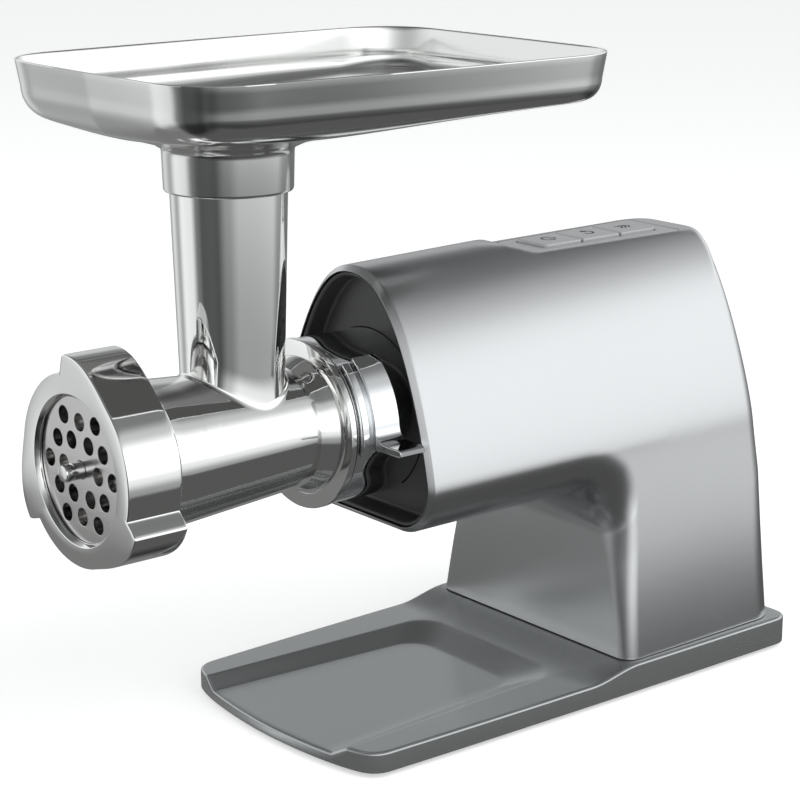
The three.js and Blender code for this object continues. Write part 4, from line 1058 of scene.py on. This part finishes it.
def gland():
    rear = box_of("cord_gland")[1][1]
    profile = [
        [3.4, rear - 10], [8, rear - 10], [8, rear - 6.6], [6, rear - 6.6], [6, rear - 2.6],
        [8.4, rear - 2.6], [8.2, rear - 1.4], [7.0, rear - 0.5], [5.0, rear], [3.9, rear],
        [3.4, rear - 0.5],
    ]
    loops = turn_y(eased(profile, 0.4, 2, closed=True), 48, z=GLAND_Z)
    fit(lofted("gland", loops, ring=True), "housing", "rubber", "cord_gland")


# -------------------- controls


def rounded_rect(half_x, half_y, front_r, rear_r, steps=8):
    """A rectangle about its own middle whose front and rear corners have their own radii."""
    points = []
    for x, y, r, start in (
        (1, 1, rear_r, 0), (-1, 1, rear_r, 90), (-1, -1, front_r, 180), (1, -1, front_r, 270),
    ):
        for a in np.radians(np.linspace(start, start + 90, steps)):
            points.append([x * (half_x - r) + r * math.cos(a), y * (half_y - r) + r * math.sin(a)])
    return np.array(points)


def key_places():
    """Each key's name, lowest and highest corner, middle, half size, and front and rear corner radius."""
    for name, corners in (("power", (3.2, 0.7)), ("reverse", (0.7, 0.7)), ("speed", (0.7, 3.2))):
        low, high = box_of("button_" + name)
        yield name, low, high, (low[:2] + high[:2]) / 2, (high[:2] - low[:2]) / 2, corners


def panel():
    holes = [
        rounded_rect(*(half + GAP + 0.15), *corners) + middle
        for _, _, _, middle, half, corners in key_places()
    ]
    top = box_of("button_panel")[1][2]
    made = flat_piece("panel", [panel_outline(0.28), *holes], 2.2, 0.2, lying(top - 1.1))
    fit(made, "housing", "panel_grey", "button_panel", sharp=30)


def buttons():
    steps = [
        (0.4, -2.8), (0.25, -2.6), (0.25, -0.8), (0.33, -0.45), (0.5, -0.22), (0.85, -0.08), (1.6, -0.02),
        (4, 0.0), (7, 0.0),
    ]
    for name, low, high, middle, half, corners in key_places():
        top = high[2]
        loops = []
        for inset, z in steps:
            loop = rounded_rect(*(half - inset), *(max(0.3, r - inset) for r in corners))
            loops.append(np.c_[loop + middle, np.full(len(loop), top + z)])
        shape = Shape()
        shape.loft(loops, caps=True)
        shape.loft(turn_z([[2, low[2]], [2, top - 2.5]], *middle, sides=32), caps=True)
        body = name + "_button"
        fit(shape.made("cap_" + name), body, "button_grey", "button_" + name)
        icon(name, body, middle, top)


def strokes(name, lines, z, width=1.0):
    """Flat printed lines lying on a button."""
    shape = Shape()
    for line in lines:
        across = directions(line)[:, ::-1] * [-1, 1] * width / 2
        n = len(line)
        ring = np.vstack([line + across, (line - across)[::-1]])
        bottom, top = (shape.add(np.c_[ring, np.full(2 * n, height)]) for height in (z - 0.1, z + 0.06))
        shape.bridge(bottom, top)
        for rows in (bottom, top):
            for i in range(n - 1):
                shape.faces.append((rows[i], rows[i + 1], rows[2 * n - 2 - i], rows[2 * n - 1 - i]))
    return shape.made(name)


def icon(name, body, middle, top):
    """Generic signs: power, a turn-back arrow, and two chevrons. They face a person at the front."""
    if name == "power":
        lines = [arc(3.1, 125, 415, 40), [[0, 0.8], [0, 4.2]]]
    elif name == "reverse":
        lines = [arc(3.0, -60, 200, 36), [[-4.3, 0.8], [-2.9, -1.1], [-1.3, 0.7]]]
    else:
        chevron = np.array([[-2.6, -1.6], [0, 0.7], [2.6, -1.6]])
        lines = [chevron + [0, 2.3], chevron, chevron - [0, 2.3]]
    made = strokes("icon_" + name, [np.asarray(line) + middle for line in lines], top)
    fit(made, body, "charcoal", finish=MARK)


# -------------------- stage, light and camera


def sheet(name, x_range, y_range, z):
    """A flat rectangle, in the frame's metres."""
    mesh = bpy.data.meshes.new(name)
    (x0, x1), (y0, y1) = x_range, y_range
    mesh.from_pydata([(x0, y0, z), (x1, y0, z), (x1, y1, z), (x0, y1, z)], [], [(0, 1, 2, 3)])
    return in_scene(name, mesh)


def floor():
    reach = 6.0
    made = sheet("floor", (-reach, reach), (-reach, reach), 0)
    material = surface(
        "pale_floor", (0.93, 0.93, 0.93), 0.7, tone=0.004, cloud=3.0, grain=60, bump=0.0, specular=0.1,
    )
    shader = next(n for n in material.node_tree.nodes if n.type == "BSDF_PRINCIPLED")
    shader.inputs["Emission Color"].default_value = (1, 1, 1, 1)
    shader.inputs["Emission Strength"].default_value = 0.5
    material.cycles.emission_sampling = "NONE"
    made.data.materials.append(material)
    made.visible_glossy = False


def reflected_card(name, x_range, y_range, brightness):
    """A grey sheet on the floor that only reflections see, fading out towards its edges."""
    made = sheet(name, x_range, y_range, 0.001)
    material = bpy.data.materials.new(name)
    tree = empty_tree(material)
    apart = node(tree, "SeparateXYZ", node(tree, "TexCoord").outputs["Generated"])
    fades = []
    for axis in ("X", "Y"):
        fold = result(tree, "Math", apart.outputs[axis], 0.5, operation="PINGPONG")
        fades.append(result(tree, "MapRange", fold, 0.0, 0.12))
    both = result(tree, "Math", *fades, operation="MULTIPLY")
    clear = result(tree, "BsdfTransparent")
    glow = result(tree, "Emission", Color=(1, 1, 1, 1), Strength=brightness)
    node(tree, "OutputMaterial", result(tree, "MixShader", both, clear, glow))
    material.cycles.emission_sampling = "NONE"
    made.data.materials.append(material)
    made.visible_camera = False
    made.visible_diffuse = False
    made.visible_shadow = False


def cards():
    reflected_card("left_card", (-0.42, 0.0), (-0.42, 0.25), 0.20)
    reflected_card("right_card", (0.0, 0.34), (-0.30, 0.50), 0.10)


def brightness_ramp(tree, source, low, high, stops, top=1.6):
    """A grey level that follows (place, brightness) stops, with places from low to high."""
    ramp = node(tree, "ValToRGB", source)
    ramp.color_ramp.interpolation = "EASE"
    elements = ramp.color_ramp.elements
    while len(elements) < len(stops):
        elements.new(0.5)
    for element, (at, value) in zip(elements, stops):
        element.position = (at - low) / (high - low)
        element.color = (value / top, value / top, value / top, 1)
    return result(tree, "Math", ramp.outputs["Color"], top, operation="MULTIPLY")


def blend(tree, share, one, other):
    return result(tree, "Mix", Factor=share, A=one, B=other)


# Brightness by how high a direction points (the sine of its elevation), on the lit side and the other.
LIT_SIDE = [
    (-1, 0.05), (-0.62, 0.05), (-0.45, 0.10), (-0.30, 0.36), (-0.12, 0.95), (0.02, 1.45), (0.36, 1.5),
    (0.60, 0.62), (0.74, 0.22), (0.86, 0.20), (1, 0.3),
]
FAR_SIDE = [
    (-1, 0.18), (-0.62, 0.22), (-0.40, 0.70), (-0.22, 0.78), (-0.05, 0.85), (0.12, 0.95), (0.36, 0.95),
    (0.52, 0.42), (0.70, 0.14), (0.84, 0.14), (1, 0.3),
]
# Brightness by compass direction in degrees, clockwise from +Y, below the horizon and above it.
LOW_WALLS = [
    (-180, 0.12), (-168, 0.25), (-152, 1.15), (-130, 1.25), (-112, 0.55), (-92, 1.0), (-72, 0.50),
    (-50, 0.22), (-12, 0.24), (12, 0.50), (32, 1.0), (104, 1.0), (128, 0.60), (150, 0.14), (180, 0.12),
]
HIGH_WALLS = [
    (-180, 0.60), (-130, 1.0), (-92, 1.0), (-50, 0.60), (0, 0.85), (32, 1.0), (104, 1.0), (150, 0.65),
    (180, 0.60),
]


def studio():
    """A light tent as reflections see it: bright walls with dark gaps, a dark roof and dark ground."""
    world = bpy.data.worlds.new("studio")
    bpy.context.scene.world = world
    tree = empty_tree(world)
    where = node(tree, "TexCoord").outputs["Generated"]
    x, y, z = node(tree, "SeparateXYZ", where).outputs
    height = result(tree, "MapRange", z, -1, 1)
    lit, far = (brightness_ramp(tree, height, -1, 1, stops) for stops in (LIT_SIDE, FAR_SIDE))
    turn = result(tree, "Math", x, y, operation="ARCTAN2")
    compass = result(tree, "MapRange", turn, -math.pi, math.pi)
    low_walls, high_walls = (
        brightness_ramp(tree, compass, -180, 180, stops) for stops in (LOW_WALLS, HIGH_WALLS)
    )
    walls = blend(tree, result(tree, "MapRange", z, -0.08, 0.14), low_walls, high_walls)
    side = result(tree, "VectorMath", where, (0.88, 0.47, 0), operation="DOT_PRODUCT")
    share = result(tree, "MapRange", side, -0.3, 0.4, interpolation_type="SMOOTHSTEP")
    level = result(tree, "Math", blend(tree, share, far, lit), walls, operation="MULTIPLY")
    tent = result(tree, "Background", Color=(0.972, 0.99, 1.0, 1), Strength=level)
    plain = result(tree, "Background", Color=(1, 1, 1, 1), Strength=1.0)
    seen_directly = node(tree, "LightPath").outputs["Is Camera Ray"]
    node(tree, "OutputWorld", result(tree, "MixShader", seen_directly, tent, plain))


def area_light(name, where, size, power):
    data = bpy.data.lights.new(name, "AREA")
    data.shape = "SQUARE"
    data.size = size
    data.energy = power
    lamp = in_scene(name, data)
    middle = Vector((0, 0, 0.13))
    lamp.location = where
    lamp.rotation_euler = (middle - lamp.location).to_track_quat("-Z", "Y").to_euler()
    lamp.visible_glossy = False


def lights():
    area_light("key", (0.9, 0.3, 1.5), 1.4, 12)
    area_light("fill", (-1.2, -1.2, 0.9), 1.4, 9)


def camera():
    data = bpy.data.cameras.new("camera")
    data.lens = 98.97
    data.sensor_width = 36
    data.clip_end = 50
    made = in_scene("camera", data)
    made.location = (0.71253, -0.59007, 0.38314)
    forward = Vector((-0.7476, 0.6119, -0.2581))
    made.rotation_euler = forward.to_track_quat("-Z", "Y").to_euler()
    bpy.context.scene.camera = made


camera()
dress_cad_nodes()
housing()
bezel()
hub()
lever()
head()
ring_nut()
plate()
worm()
tray()
base()
feet()
gland()
panel()
buttons()
floor()
cards()
studio()
lights()
bpy.context.scene.view_settings.view_transform = "Standard"
